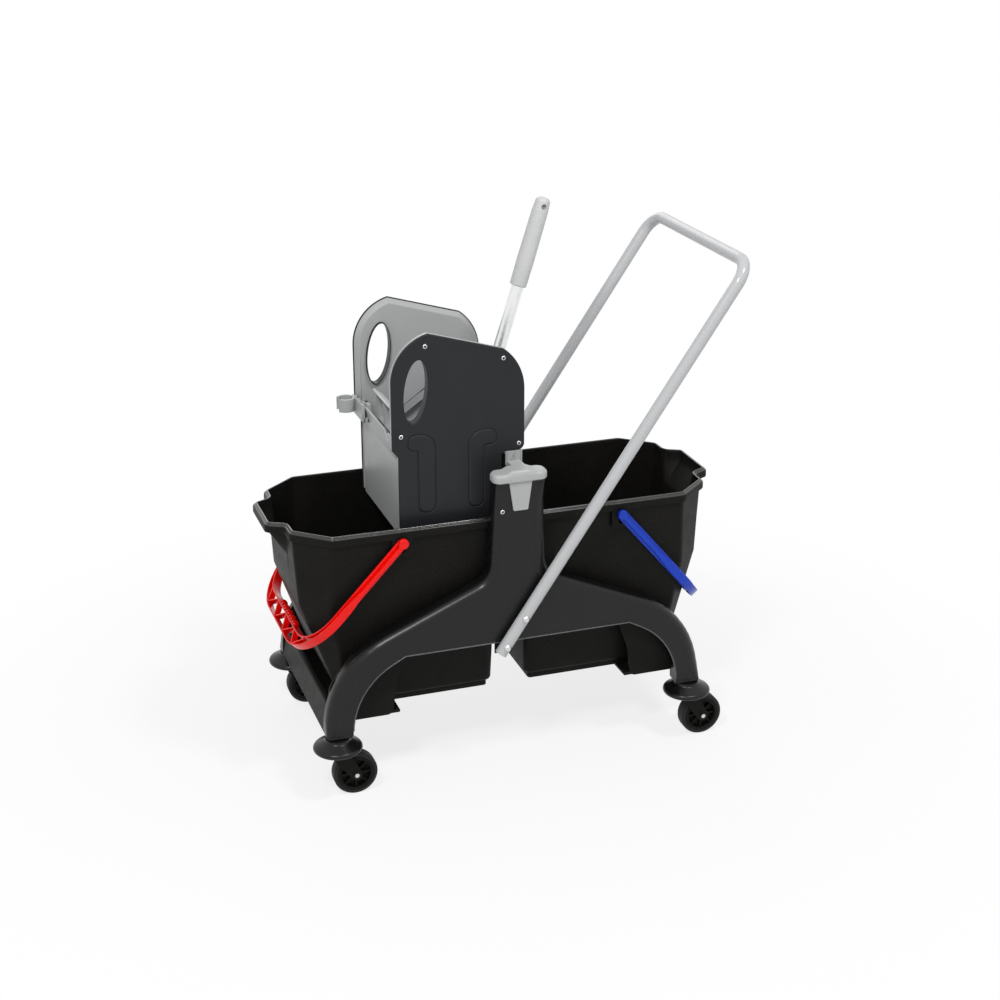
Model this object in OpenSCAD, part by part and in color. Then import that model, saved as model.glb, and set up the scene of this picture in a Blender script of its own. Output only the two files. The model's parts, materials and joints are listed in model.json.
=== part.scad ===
// Double mop bucket trolley: two buckets on a wheeled carrier, with a lever press wringer over one of them.
// The origin is on the floor under the middle. +X runs towards the push bar, +Y to the back, +Z up.
// The near side is at -Y and the far side at +Y.

/* [Casters] */
// Diameter of a wheel over its tyre
wheel_d = 80; // [64:1:96]
// Width of a wheel
wheel_w = 24; // [18:1:30]
// Thickness of a tyre
tyre_t = 7; // [4:0.5:10]
// Diameter of an axle
axle_d = 8; // [6:0.5:10]
// Distance from the swivel axis back to the axle
caster_trail = 28.5; // [20:0.5:34]
// Diameter of a swivel stem
stem_d = 11; // [8:0.5:12]
// Length of the stem inside the leg
stem_l = 38; // [25:1:50]
// Thickness of a fork blade
fork_t = 4; // [3:0.5:6]
// Width of a fork blade at the crown
fork_w = 32; // [24:1:36]
// Thickness of the fork crown
crown_t = 5; // [3:0.5:8]
// Diameter of a bumper disc
bumper_d = 91; // [70:1:100]
// Height of a bumper disc with its collar
bumper_h = 24; // [18:1:30]
// Distance of the swivel axes from the middle, along the trolley
caster_x = 335; // [325:1:340]
// Distance of the swivel axes from the middle, across the trolley
caster_y = 180; // [176:1:182]

/* [Side frames] */
// Distance between the inner faces of the two side frames
frame_gap = 324; // [324:1:340]
// Depth of a side frame
frame_t = 30; // [26:1:40]
// Wall of a side frame
frame_wall = 4; // [3:0.5:6]
// Thickness of the ribs inside a side frame
frame_rib = 3; // [2:0.5:5]
// Height of the tower top
tower_z = 556; // [540:1:570]
// Width of the tower at its top
tower_top_w = 90; // [84:1:100]
// Width of the tower where the arms leave it
tower_base_w = 108; // [100:1:130]
// Height at which the arms leave the tower
shoulder_z = 377; // [360:1:390]
// Height at which an arm's line meets the outside of its leg
elbow_z = 246; // [235:1:260]
// Radius of the bend from arm to leg
elbow_r = 185; // [150:5:190]
// Distance from the middle to the outside of a leg
leg_out = 356; // [350:1:362]
// Width of a leg at its foot
leg_w = 48; // [40:1:54]
// Height of the lower lip between the arches
lip_z = 255; // [245:1:265]
// Half the length of the lower lip
lip_x = 211; // [200:1:220]

/* [Tower caps] */
// Length of a tower cap along the trolley
cap_w = 100; // [96:1:106]
// Height of a tower cap
cap_h = 16; // [12:1:20]
// Rise of the seat in the middle of a cap
cap_seat_h = 5; // [3:0.5:8]
// Reach of a cap past the outer face of its tower
cap_lip = 7; // [4:0.5:10]
// Height of the tongue that hangs from a cap
tongue_h = 53; // [40:1:60]
// Thickness of the tongue
tongue_t = 3; // [2:0.5:4]

/* [Push bar] */
// Diameter of the push bar tube
bar_d = 22; // [18:1:26]
// Wall of the push bar tube
bar_wall = 1.5; // [1:0.25:3]
// Angle of the push bar above level
bar_angle = 56; // [50:0.5:62]
// Length of a push bar arm from its foot to the cross piece
bar_l = 805; // [700:5:850]
// Radius of the push bar's bends
bar_bend_r = 40; // [30:1:60]
// Place of the push bar's foot along the trolley
bar_foot_x = -40; // [-44:1:-36]
// Diameter of the push bar bolts
bar_bolt_d = 7; // [5:0.5:8]
// Distance of the lower bolt from the bar's foot
bolt_low = 17; // [15:1:20]
// Distance between the two bolts of an arm
bolt_pitch = 61; // [50:1:70]

/* [End cradles] */
// Height of the cross beam of a cradle
beam_h = 57; // [45:1:65]
// Thickness of the cross beam
beam_t = 15; // [10:1:16]
// Thickness of the cradle floor
cradle_floor_t = 6; // [4:0.5:10]
// Thickness of the cradle's side plates
cradle_plate_t = 4; // [3:0.5:4.5]
// Distance of the cradle floor's inner edge from the middle
cradle_in = 215; // [200:1:240]

/* [Buckets] */
// Height of a bucket's rim
rim_z = 480; // [470:1:490]
// Height of a bucket's foot
bucket_foot_z = 138; // [136:1:144]
// Height of the hollow plinth under a bucket
plinth_h = 12; // [8:1:16]
// Depth of the rim band
rim_h = 18; // [14:1:22]
// Width of the rim band
rim_t = 9; // [8:0.5:12]
// Wall of a bucket
bucket_wall = 3; // [2:0.25:4]
// Clear gap between the two buckets' rims
bucket_gap = 28; // [24:1:34]
// Width of a bucket over its rim
bucket_w = 318; // [312:1:320]
// Distance from the middle to the tip of a pouring lip
spout_x = 420; // [410:1:425]

/* [Bails] */
// Distance of a bail's pivot from the middle
bail_x = 203; // [195:1:210]
// Height of a bail's pivot
bail_z = 456; // [452:1:458]
// Distance from the pivot to the middle of the grip
bail_r = 256; // [250:1:262]
// Thickness of a bail's arms
bail_t = 8; // [6:0.5:8.5]
// Width of the grip
bail_grip_w = 24; // [20:1:28]
// Depth of a bail at its corners
bail_fin = 24; // [16:1:26]
// Diameter of a bail's pivot pins
bail_pin_d = 8; // [6:0.5:10]
// Angle of the left bail below level at rest
bail_left_drop = 44; // [42:0.5:47]
// Angle of the right bail below level at rest
bail_right_drop = 47; // [43:0.5:48]
// Number of windows in a grip
bail_windows = 12; // [6:1:14]

/* [Wringer box] */
// Width of the wringer over its side panels
wringer_w = 254; // [246:1:260]
// Thickness of a side panel
panel_t = 4; // [3:0.5:6]
// Thickness of a liner
liner_t = 10; // [8:0.5:12]
// Thickness of the front and rear walls
wall_t = 4; // [3:0.5:6]
// Height of the underside of the wringer
wringer_z = 450; // [446:1:458]
// Thickness of the sieve floor
sieve_t = 4; // [3:0.5:6]
// Diameter of the sieve holes
sieve_hole_d = 9; // [6:0.5:12]
// Height of the rear wall's top
rear_wall_z = 605; // [580:1:612]
// Width of the hand hole in a side panel
handhole_w = 41; // [34:1:46]
// Height of the hand hole in a side panel
handhole_h = 112; // [95:1:118]
// Inner diameter of the mop handle clip
clip_d = 25.5; // [22:0.5:28]
// Wall of the mop handle clip
clip_wall = 4.75; // [3:0.25:6]
// Height of the mop handle clip
clip_h = 24; // [18:1:30]

/* [Lever and press] */
// Diameter of the lever shaft
shaft_d = 16; // [12:0.5:18]
// Diameter of the lever tube
lever_d = 22; // [18:1:24]
// Diameter of the lever's grip
grip_d = 31; // [27:0.5:36]
// Distance from the shaft to the end of the grip
lever_l = 373; // [340:1:390]
// Length of the grip
grip_l = 160; // [130:1:180]
// Lean of the lever from upright at rest
lever_lean = 17.3; // [12:0.1:20]
// Radius of the crank on the lever shaft
crank_r = 36.9; // [34:0.1:38]
// Thickness of a crank arm
crank_t = 5; // [4:0.5:6]
// Distance from the jaw's hinge to its link pins
jaw_pin_r = 104; // [102:0.5:106]
// Length of the jaw from its hinge to its top
jaw_l = 165; // [150:1:170]
// Half the width of the jaw
jaw_half_w = 96; // [88:1:97]
// Thickness of the jaw plate
jaw_t = 4; // [3:0.5:6]
// Depth of the ribs behind the jaw
jaw_rib_h = 10; // [6:0.5:12]
// Diameter of the link and jaw pins
pin_d = 8; // [6:0.5:9]
// Width of a pull link
link_w = 18; // [17:0.5:22]
// Thickness of a pull link
link_t = 5; // [4:0.5:6]
// Wire of the return spring
wire_d = 2.5; // [2:0.25:3]
// Number of turns of the return spring
spring_turns = 5; // [3:1:6]

/* [Fits] */
// Clearance of a pin in its bore, all round
pin_clear = 0.05; // [0.02:0.01:0.1]
// Gap between faces that pass each other
run_gap = 0.5; // [0.3:0.1:1]
// Play of the crank pin in the eye of a pull link
eye_play = 2.2; // [2:0.1:2.5]

/* [Hidden] */
$fn = 64;

slate = "#3a3b3e";
dark = "#2b2c2e";
mid_grey = "#9a9c9c";
light_grey = "#c6c8c8";
silver = "#d4d6d8";
red = "#d8202a";
blue = "#2340c8";

// Caster stack, from the floor up
wheel_r = wheel_d / 2;
blade_in = wheel_w / 2 + 1.5;
crown_z = wheel_d + 2.5;
crown_r = 20;
bumper_z = crown_z + crown_t + run_gap;
leg_z = bumper_z + bumper_h;
collar_r = 22;
tyre_in_r = wheel_r - tyre_t;
hub_r = 9;
spoke_count = 8;
axle_head_h = 2.5;
caster_side = [[-1, -1], [1, -1], [-1, 1], [1, 1]];

// Side frame
frame_in = frame_gap / 2;
frame_out = frame_in + frame_t;
leg_in = leg_out - leg_w;
arch_r = 138;
arch_z = 203;
frame_half = [
    [lip_x, lip_z, 4], [leg_in, arch_z, arch_r], [leg_in, leg_z, 3], [leg_out, leg_z, 3],
    [leg_out, elbow_z, elbow_r], [tower_base_w / 2, shoulder_z, 40], [tower_top_w / 2, tower_z, 6]
];
frame_outline = concat(frame_half, mirror_x(frame_half));
rib_places = [-250, -170, -90, 0, 90, 170, 250];
shelf_reach = 7.5;
shelf_h = 10;
shelf_w = 84;
screw_d = 4;
screw_head_d = 8;
tower_screw = [-33, 503];

// Tower cap and push bar
cap_in = frame_in - 1;
cap_out = frame_out + cap_lip;
seat_z = tower_z + cap_h + cap_seat_h;
bar_r = bar_d / 2;
bar_y = frame_out + bar_r + 0.1;
bar_foot_z = 238;
bolt_places = [bolt_low, bolt_low + bolt_pitch];
bolt_head_d = 13;
bolt_head_h = 3.5;
nut_w = 12;
nut_h = 5.5;
lug_half = 17;
lug_x = bar_foot_x + bolt_low * cos(bar_angle);

// Buckets and cradles
rim_low = rim_z - rim_h;
base_z = bucket_foot_z + plinth_h;
waist_z = 340;
half_w = bucket_w / 2;
bucket_in = bucket_gap / 2;
rim_half = [
    [bucket_in, -half_w, 25], [327, -half_w, 20], [spout_x - 31, -105, 14],
    [spout_x - 30, -69, 6], [spout_x, -54, 10]
];
rim_outline = concat(rim_half, mirror_y(rim_half));
top_half = [[bucket_in + 6, -half_w + 6, 20], [325, -half_w + 6, 16], [spout_x - 35, -100, 12]];
waist_half = [[bucket_in + 13, -half_w + 13, 18], [330, -half_w + 13, 16], [377, -102, 12]];
base_half = [[bucket_in + 31, -half_w + 26, 14], [312, -half_w + 26, 14]];
bucket_top = concat(top_half, mirror_y(top_half));
bucket_waist = concat(waist_half, mirror_y(waist_half));
bucket_base = concat(base_half, mirror_y(base_half));
spout_low = rim_low - 46;
spout_foot_x = 377;
boss_d = 20;
cradle_floor_z = bucket_foot_z - cradle_floor_t;
beam_out = leg_out - 2;
plate_out = frame_in;
plate_in = plate_out - cradle_plate_t;

// Bails
bail_in = half_w + 1;
bail_out = bail_in + bail_t;
bail_hub_d = 15;
bail_bend_r = 44;
bail_arm_half = 5;
bail_neck = 60;
fin_back = 48;
fin_end = 26;
grip_half = bail_grip_w / 2;
grip_depth = 9;
grip_margin = 70;
bail_clear = 3;
// A bail hangs at its drop, or higher where its grip would come nearer than bail_clear to the end wall
function end_wall_x(z) = z > waist_z
    ? waist_half[2].x + (top_half[2].x - waist_half[2].x) * (z - waist_z) / (rim_low - waist_z)
    : base_half[1].x + (waist_half[2].x - base_half[1].x) * (z - base_z) / (waist_z - base_z);
function grip_room(d) =
    let (
        u = bail_r - grip_half, x = bail_x + u * cos(d) - grip_depth * sin(d),
        z = bail_z - u * sin(d) - grip_depth * cos(d)
    )
    x - end_wall_x(z);
function rest_drop(drop) = max([for (d = [0:0.5:drop]) if (grip_room(d) >= bail_clear) d]);

// Wringer
panel_out = wringer_w / 2;
panel_in = panel_out - panel_t;
liner_in = panel_in - liner_t;
liner_edge = 3;
liner_step = 4;
panel_left = -209;
panel_right = 30;
shoulder_x = -12;
shoulder_r = 7;
throat_x = -34;
front_x = -196;
crown_left = [-121.8, 729];
crown_left_r = crown_left.x - panel_left;
crown_right = [-62, 700];
crown_right_r = panel_right - crown_right.x;
panel_low = seat_z + 11;
panel_outline = concat(
    [[front_x - 2, wringer_z, 4], [throat_x, wringer_z, 4], [throat_x, 486, 8], [shoulder_x, 497, 8],
     [shoulder_x, panel_low, shoulder_r], [panel_right, panel_low, 12]],
    arc(crown_right, crown_right_r, 0, 54), arc(crown_left, crown_left_r, 104, 180),
    [[panel_left, 612, 7], [front_x - 2, 599, 7]]
);
handhole = [-165, 713];
handhole_tilt = 7;
panel_screw_places = [[-148, 792], [-9, 758], [-193, 636], [19.6, 601]];
pad_h = 1.2;
pad_left = [
    [-163, 493, 13], [-132, 493, 13], [-132, 636, 26],
    [-181, 636, 14], [-181, 608, 12], [-163, 608, 3]
];
pad_right = [
    [-72, 493, 12], [-44.5, 493, 12], [-44.5, 605, 3],
    [-21.6, 605, 12], [-21.6, 633, 13], [-72, 633, 26]
];
front_in = front_x + wall_t;
lip_top = [-207, 632];
lip_foot_z = 588;
notch = [-75, 26, 19];
rear_in = throat_x;
rear_out = rear_in + wall_t;
sieve_pitch = 18;
clip_r = clip_d / 2;
clip_at = [-228, 112];
clip_z = 612;
clip_mouth = 17;
bracket_x = [shoulder_x + shoulder_r + run_gap, 26];
bracket_in = 96;
foot_out = 174;

// Lever, crank, jaw and links
shaft = [-1.6, 643.8];
shaft_r = shaft_d / 2;
shaft_seat = 5;
shaft_y = liner_in + shaft_seat;
hinge_rise = 25.8;
jaw_hinge = [-154.8, wringer_z + hinge_rise];
jaw_lean = 3.4;
pin_r = pin_d / 2;
crank_angle = 123.7;
crank_pin = shaft + crank_r * [cos(crank_angle), sin(crank_angle)];
jaw_pin = jaw_hinge + jaw_pin_r * [-sin(jaw_lean), cos(jaw_lean)];
link_l = norm(crank_pin - jaw_pin);
link_angle = atan2(crank_pin.y - jaw_pin.y, crank_pin.x - jaw_pin.x);
link_in = jaw_half_w + 2.5;
link_waist = 2;
link_out = link_in + link_t;
crank_in = link_out + 1.5;
crank_out = crank_in + crank_t;
knuckle_r = 9;
yoke_r = 17;
yoke_half = 20;
socket_d = lever_d + 7;
socket_l = 64;
tube_start = 24;
grip_start = lever_l - grip_l;
grip_grip = 30;
spring_rings = 8;
spring_gap = 0.4;
spring_r = (shaft_r + spring_gap + wire_d / 2) / cos(180 / spring_rings);
spring_pitch = wire_d + 0.9;
spring_y = yoke_half + 6;
spring_sides = 6;

// Outlines are lists of corners [x, y, radius], counter-clockwise
function unit(v) = v / norm(v);
function xy(p) = [p.x, p.y];
function arc(c, r, a, b, n = 10) =
    [for (i = [0:n]) let (t = a + (b - a) * i / n) [c.x + r * cos(t), c.y + r * sin(t), 0]];
function before(v, i) = xy(v[(i + len(v) - 1) % len(v)]);
function after(v, i) = xy(v[(i + 1) % len(v)]);
function fillet(p, q, s, r, n) =
    let (
        u = unit(p - q), v = unit(s - q), half = acos(max(-1, min(1, u * v))) / 2,
        c = q + unit(u + v) * r / sin(half),
        g = q + u * r / tan(half) - c, h = q + v * r / tan(half) - c,
        a = atan2(g.y, g.x), turn = (atan2(h.y, h.x) - a + 540) % 360 - 180
    )
    [for (i = [0:n]) c + r * [cos(a + turn * i / n), sin(a + turn * i / n)]];
function rounded(v, n = 8) = [
    for (i = [0:len(v) - 1])
        each (v[i][2] > 0 ? fillet(before(v, i), xy(v[i]), after(v, i), v[i][2], n) : [xy(v[i])])
];
function inward(p, q) = let (d = unit(q - p)) [-d.y, d.x];
function inset(v, d) = [
    for (i = [0:len(v) - 1])
        let (
            p = before(v, i), q = xy(v[i]), s = after(v, i), a = inward(p, q), b = inward(q, s),
            m = q + d * (a + b) / (1 + a * b), bend = cross(q - p, s - q), r = v[i][2]
        )
        [m.x, m.y, r == 0 ? 0 : bend > 0 ? max(r - d, 0.5) : r + d]
];
function mirror_x(v) = [for (i = [len(v) - 1:-1:0]) [-v[i].x, v[i].y, v[i][2]]];
function mirror_y(v) = [for (i = [len(v) - 1:-1:0]) [v[i].x, -v[i].y, v[i][2]]];
function block(x0, z0, x1, z1, r) = [[x0, z0, r], [x1, z0, r], [x1, z1, r], [x0, z1, r]];
function ellipse(c, w, h, tilt, n = 40) = [
    for (i = [0:n - 1]) let (t = 360 * i / n, a = w / 2 * cos(t), b = h / 2 * sin(t))
        c + [a * cos(tilt) + b * sin(tilt), b * cos(tilt) - a * sin(tilt)]
];
function along_bar(s) = [bar_foot_x + s * cos(bar_angle), bar_foot_z + s * sin(bar_angle)];

// An upright outline in X and Z, drawn out from y0 to y1
module xz(y0, y1) {
    translate([0, y1, 0]) rotate([90, 0, 0]) linear_extrude(y1 - y0) children();
}
// A round bar across the trolley at [x, z]
module cross_bar(p, r, y0, y1) {
    translate([p.x, y1, p.y]) rotate([90, 0, 0]) cylinder(r = r, h = y1 - y0);
}
// Parts are drawn on the near side or the right; these turn them to their place
module on_side(side) {
    if (side < 0) children();
    else mirror([0, 1, 0]) children();
}
module on_end(end) {
    if (end > 0) children();
    else mirror([1, 0, 0]) children();
}
module both_sides() {
    children();
    mirror([0, 1, 0]) children();
}
module at_caster(i) {
    translate([caster_side[i].x * caster_x, caster_side[i].y * caster_y, 0]) children();
}
module plan(v, z0, z1) {
    translate([0, 0, z0]) linear_extrude(z1 - z0) polygon(rounded(v));
}
module slice(v, z) {
    translate([0, 0, z]) linear_extrude(0.01) polygon(rounded(v, 5));
}
// A screw or bolt along Y whose head sits at y0 and whose shank runs inwards for l
module screw(p, y0, d, head_d, head_h, l) {
    translate([p.x, y0, p.y]) rotate([90, 0, 0]) cylinder(d1 = head_d, d2 = head_d * 0.6, h = head_h);
    cross_bar(p, d / 2, y0, y0 + l);
}

// Carrier
module side_frame(side) {
    color(slate) on_side(side) difference() {
        union() {
            difference() {
                xz(-frame_out, -frame_in) polygon(rounded(frame_outline));
                xz(-frame_out + frame_wall, -frame_in + 1) polygon(rounded(inset(frame_outline, frame_wall)));
            }
            intersection() {
                xz(-frame_out + frame_wall / 2, -frame_in)
                    polygon(rounded(inset(frame_outline, frame_wall / 2)));
                union() {
                    for (x = rib_places) translate([x - frame_rib / 2, -frame_out, 0])
                        cube([frame_rib, frame_t - frame_wall, rim_low - shelf_h]);
                    translate([-tower_base_w, -frame_out, rim_low - shelf_h])
                        cube([2 * tower_base_w, frame_t, shelf_h]);
                    for (x = [-caster_x, caster_x]) translate([x, -caster_y, 0])
                        cylinder(d = stem_d + 12, h = leg_z + stem_l + frame_wall);
                }
            }
            translate([-shelf_w / 2, -frame_in - 1, rim_low - shelf_h])
                cube([shelf_w, shelf_reach + 1, shelf_h]);
            xz(-frame_out, -frame_out + frame_wall) polygon(rounded(
                block(lug_x - lug_half, bar_foot_z - 4, lug_x + lug_half, lip_z + frame_wall, 3)));
        }
        for (x = [-caster_x, caster_x]) translate([x, -caster_y, leg_z - 1])
            cylinder(d = stem_d + 2 * pin_clear, h = stem_l + 1 + run_gap);
        for (s = bolt_places) {
            cross_bar(along_bar(s), bar_bolt_d / 2 + pin_clear, -frame_out - 1, -frame_in + 1);
            cross_bar(along_bar(s), nut_w / 2 + run_gap, -frame_out + frame_wall, -frame_in + 1);
        }
        cross_bar(tower_screw, screw_d / 2 + pin_clear, -frame_out - 1, -frame_out + frame_wall + 1);
    }
}
module end_cradle(end) {
    beam_in = beam_out - beam_t;
    beam_top = leg_z + 1 + beam_h;
    plate_low = cradle_floor_z - 2;
    profile = [
        [cradle_in, cradle_floor_z, 2], [beam_in - 4, cradle_floor_z, 5], [beam_in, leg_z + 1, 3],
        [beam_out + 2, leg_z + 1, 4], [beam_out - 7, beam_top, 4], [beam_in - 3, beam_top, 3],
        [beam_in - 3, bucket_foot_z, 6], [cradle_in, bucket_foot_z, 2]
    ];
    plate = [
        [cradle_in + 13, plate_low, 12], [beam_in + 4, plate_low, 3], [beam_in + 4, arch_z, 40],
        [300, lip_z + 4, 20], [lip_x - 16, lip_z + 4, 3], [cradle_in + 6, arch_z - 15, 60]
    ];
    color(dark) on_end(end) {
        xz(-plate_out, plate_out) polygon(rounded(profile));
        both_sides() xz(-plate_out, -plate_in) polygon(rounded(plate));
    }
}
module tower_cap(side) {
    half = cap_w / 2;
    top = tower_z + cap_h;
    profile = [
        [-half, tower_z, 4], [half, tower_z, 4], [half, top, 8], [24, top, 10], [16, seat_z, 8],
        [-18, seat_z, 8], [-26, top, 10], [-half, top, 8]
    ];
    tongue_z = tower_z - tongue_h;
    tongue = [[-13.5, tongue_z, 2], [13, tongue_z, 2], [21, tower_z + 1, 0], [-22, tower_z + 1, 0]];
    color(light_grey) on_side(side) {
        intersection() {
            xz(-cap_out, -cap_in) polygon(rounded(profile));
            plan(block(-half, -cap_out, half, -cap_in, 12), tower_z - 1, seat_z + 1);
        }
        xz(-frame_out - tongue_t, -frame_out) polygon(rounded(tongue));
    }
}
module bar_run(r, spare) {
    straight = bar_l - bar_bend_r;
    for (s = [-1, 1]) {
        translate([-spare, s * bar_y, 0]) rotate([0, 90, 0]) cylinder(r = r, h = straight + spare);
        translate([straight, s * (bar_y - bar_bend_r), 0]) rotate([0, 0, s < 0 ? -90 : 0])
            rotate_extrude(angle = 90) translate([bar_bend_r, 0]) circle(r);
    }
    across = bar_y - bar_bend_r;
    translate([bar_l, across, 0]) rotate([90, 0, 0]) cylinder(r = r, h = 2 * across);
}
module push_bar() {
    color(light_grey) difference() {
        translate([bar_foot_x, 0, bar_foot_z]) rotate([0, -bar_angle, 0]) difference() {
            bar_run(bar_r, 0);
            bar_run(bar_r - bar_wall, 1);
        }
        for (s = bolt_places) both_sides()
            cross_bar(along_bar(s), bar_bolt_d / 2 + pin_clear, -bar_y - bar_r - 1, -bar_y + bar_r + 1);
    }
}
module bar_bolts() {
    head_y = -bar_y - bar_r;
    nut_y = -frame_out + frame_wall;
    color(silver) both_sides() for (s = bolt_places) {
        screw(along_bar(s), head_y, bar_bolt_d, bolt_head_d, bolt_head_h, nut_y + nut_h - head_y);
        translate([along_bar(s).x, nut_y + nut_h, along_bar(s).y]) rotate([90, 0, 0])
            cylinder(d = nut_w, h = nut_h, $fn = 6);
    }
}
module tower_screws() {
    color(silver) both_sides() screw(tower_screw, -frame_out, screw_d, screw_head_d, 1.8, frame_wall);
}
module bumper(i) {
    r = bumper_d / 2;
    bore = stem_d / 2 + 0.8;
    edge = bumper_h * 0.42;
    profile = concat(
        [[bore, 0, 0], [r - 5, 0, 5], [r, edge / 2, 5], [r - 4, edge, 6], [collar_r, bumper_h - 4, 5]],
        [[collar_r, bumper_h, 0], [bore, bumper_h, 0]]
    );
    color(dark) at_caster(i) translate([0, 0, bumper_z]) rotate_extrude() polygon(rounded(profile, 5));
}

// Casters
module fork(i) {
    out = blade_in + fork_t + 1;
    color(dark) at_caster(i) difference() {
        union() {
            translate([0, 0, crown_z]) cylinder(r = crown_r, h = crown_t);
            translate([0, 0, crown_z]) cylinder(d = stem_d, h = leg_z + stem_l - crown_z);
            both_sides() xz(-blade_in - fork_t, -blade_in) hull() {
                translate([-fork_w / 2, crown_z]) square([fork_w, crown_t]);
                translate([caster_trail, wheel_r]) circle(axle_d / 2 + 6.5, $fn = 32);
            }
        }
        cross_bar([caster_trail, wheel_r], axle_d / 2 + pin_clear, -out, out);
    }
}
module axle(i) {
    out = blade_in + fork_t;
    color(silver) at_caster(i) {
        cross_bar([caster_trail, wheel_r], axle_d / 2, -out - 0.5, out + 0.5);
        both_sides() cross_bar([caster_trail, wheel_r], axle_d / 2 + 2, -out - axle_head_h, -out);
    }
}
module turned(i) {
    at_caster(i) translate([caster_trail, 0, wheel_r]) rotate([90, 0, 0]) children();
}
module wheel(i) {
    half = wheel_w / 2;
    hub_half = blade_in - run_gap;
    rim_in = tyre_in_r - 6;
    color(dark) turned(i) difference() {
        union() {
            cylinder(r = hub_r, h = 2 * hub_half, center = true);
            cylinder(r = tyre_in_r, h = 6, center = true);
            difference() {
                cylinder(r = tyre_in_r, h = wheel_w, center = true);
                cylinder(r = rim_in, h = wheel_w + 2, center = true);
            }
            for (k = [0:spoke_count - 1]) rotate(360 * k / spoke_count)
                translate([hub_r - 2, -1.5, -half + 3]) cube([rim_in - hub_r + 3, 3, wheel_w - 6]);
        }
        cylinder(r = axle_d / 2 + pin_clear, h = 2 * hub_half + 2, center = true);
    }
}
module tyre(i) {
    half = wheel_w / 2;
    seat = tyre_in_r + pin_clear;
    profile = [[seat, -half, 0], [wheel_r, -half, 4], [wheel_r, half, 4], [seat, half, 0]];
    color(slate) turned(i) rotate_extrude() polygon(rounded(profile, 5));
}

// Buckets
module bucket_form(d, floor_z) {
    hull() {
        slice(inset(bucket_top, d), rim_low);
        slice(inset(bucket_waist, d), waist_z);
    }
    hull() {
        slice(inset(bucket_waist, d), waist_z);
        slice(inset(bucket_base, d), floor_z);
    }
}
module spout_form(d) {
    tip = spout_x - d * 1.4;
    wide = 62 - d;
    hull() {
        translate([spout_foot_x - 12, -wide, rim_low]) cube([18, 2 * wide, 0.01]);
        translate([tip - 12, -54 + d, rim_low]) cube([12, 108 - 2 * d, 0.01]);
        translate([spout_foot_x - 12, -46 + d, spout_low + d]) cube([6, 92 - 2 * d, 0.01]);
    }
}
module bucket(end) {
    pivot = [bail_x, bail_z];
    color(dark) on_end(end) difference() {
        union() {
            bucket_form(0, base_z);
            spout_form(0);
            plan(rim_outline, rim_low, rim_z);
            difference() {
                plan(inset(bucket_base, 8), bucket_foot_z, base_z);
                plan(inset(bucket_base, 13), bucket_foot_z - 1, base_z);
            }
            both_sides() cross_bar(pivot, boss_d / 2, -half_w, -half_w + 12);
        }
        bucket_form(bucket_wall, base_z + bucket_wall);
        spout_form(bucket_wall);
        plan(inset(rim_outline, rim_t), rim_low - 0.5, rim_z + 1);
        both_sides() cross_bar(pivot, bail_pin_d / 2 + pin_clear, -half_w - 1, -half_w + 14);
    }
}
module bail(end) {
    far_u = bail_r + grip_half;
    ring = block(-bail_hub_d, -bail_out, far_u, bail_out, bail_bend_r);
    hole = block(-2 * bail_bend_r, -bail_in, bail_r - grip_half, bail_in, bail_bend_r - bail_t);
    half_side = [
        [far_u + 1, grip_depth, 4], [bail_r - fin_end, grip_depth, 12], [bail_r - fin_back, bail_fin / 2, 40],
        [bail_neck, bail_arm_half, 60], [-bail_hub_d / 2, bail_arm_half, 4]
    ];
    side = concat(half_side, mirror_y(half_side));
    pitch = (2 * bail_out - grip_margin) / bail_windows;
    drop = rest_drop(end < 0 ? bail_left_drop : bail_right_drop);
    color(end < 0 ? red : blue) on_end(end) translate([bail_x, 0, bail_z]) rotate([0, drop, 0]) {
        difference() {
            intersection() {
                difference() {
                    plan(ring, -bail_fin, bail_fin);
                    plan(hole, -bail_fin - 1, bail_fin + 1);
                }
                xz(-bail_out, bail_out) polygon(rounded(side, 6));
            }
            for (k = [0:bail_windows - 1])
                translate([bail_r - grip_half / 2, (k - bail_windows / 2 + 0.2) * pitch, -bail_fin])
                    cube([grip_half, pitch * 0.6, 2 * bail_fin]);
        }
        both_sides() {
            cross_bar([0, 0], bail_hub_d / 2, -bail_out, -bail_in);
            cross_bar([0, 0], bail_pin_d / 2, -bail_in, -half_w + 12);
        }
    }
}

// Wringer box
module hand_hole(y0, y1, spare) {
    xz(y0, y1) polygon(ellipse(handhole, handhole_w + spare, handhole_h + spare, handhole_tilt));
}
module side_panel(side) {
    color(slate) on_side(side) difference() {
        union() {
            xz(-panel_out, -panel_in) polygon(rounded(panel_outline));
            xz(-panel_out - pad_h, -panel_out) polygon(rounded(pad_left));
            xz(-panel_out - pad_h, -panel_out) polygon(rounded(pad_right));
        }
        hand_hole(-panel_out - 1, -panel_in + 1, 0);
        for (p = panel_screw_places) cross_bar(p, screw_d / 2 + pin_clear, -panel_out - 1, -panel_in + 1);
    }
}
module liner(side) {
    color(mid_grey) on_side(side) difference() {
        xz(-panel_in, -liner_in) polygon(rounded(inset(panel_outline, liner_edge)));
        xz(-liner_in - liner_step, -liner_in + 1) intersection() {
            polygon(rounded(inset(panel_outline, liner_edge + 14)));
            translate([panel_left, lip_foot_z + 62]) square(300);
        }
        hand_hole(-panel_in - 1, -liner_in + 1, 4);
        for (p = panel_screw_places) cross_bar(p, screw_d / 2 + pin_clear, -panel_in - 1, -panel_in + 7);
        cross_bar(shaft, shaft_r + pin_clear, -shaft_y - run_gap, -liner_in + 1);
        cross_bar(jaw_hinge, pin_r + pin_clear, -shaft_y - run_gap, -liner_in + 1);
    }
}
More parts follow.
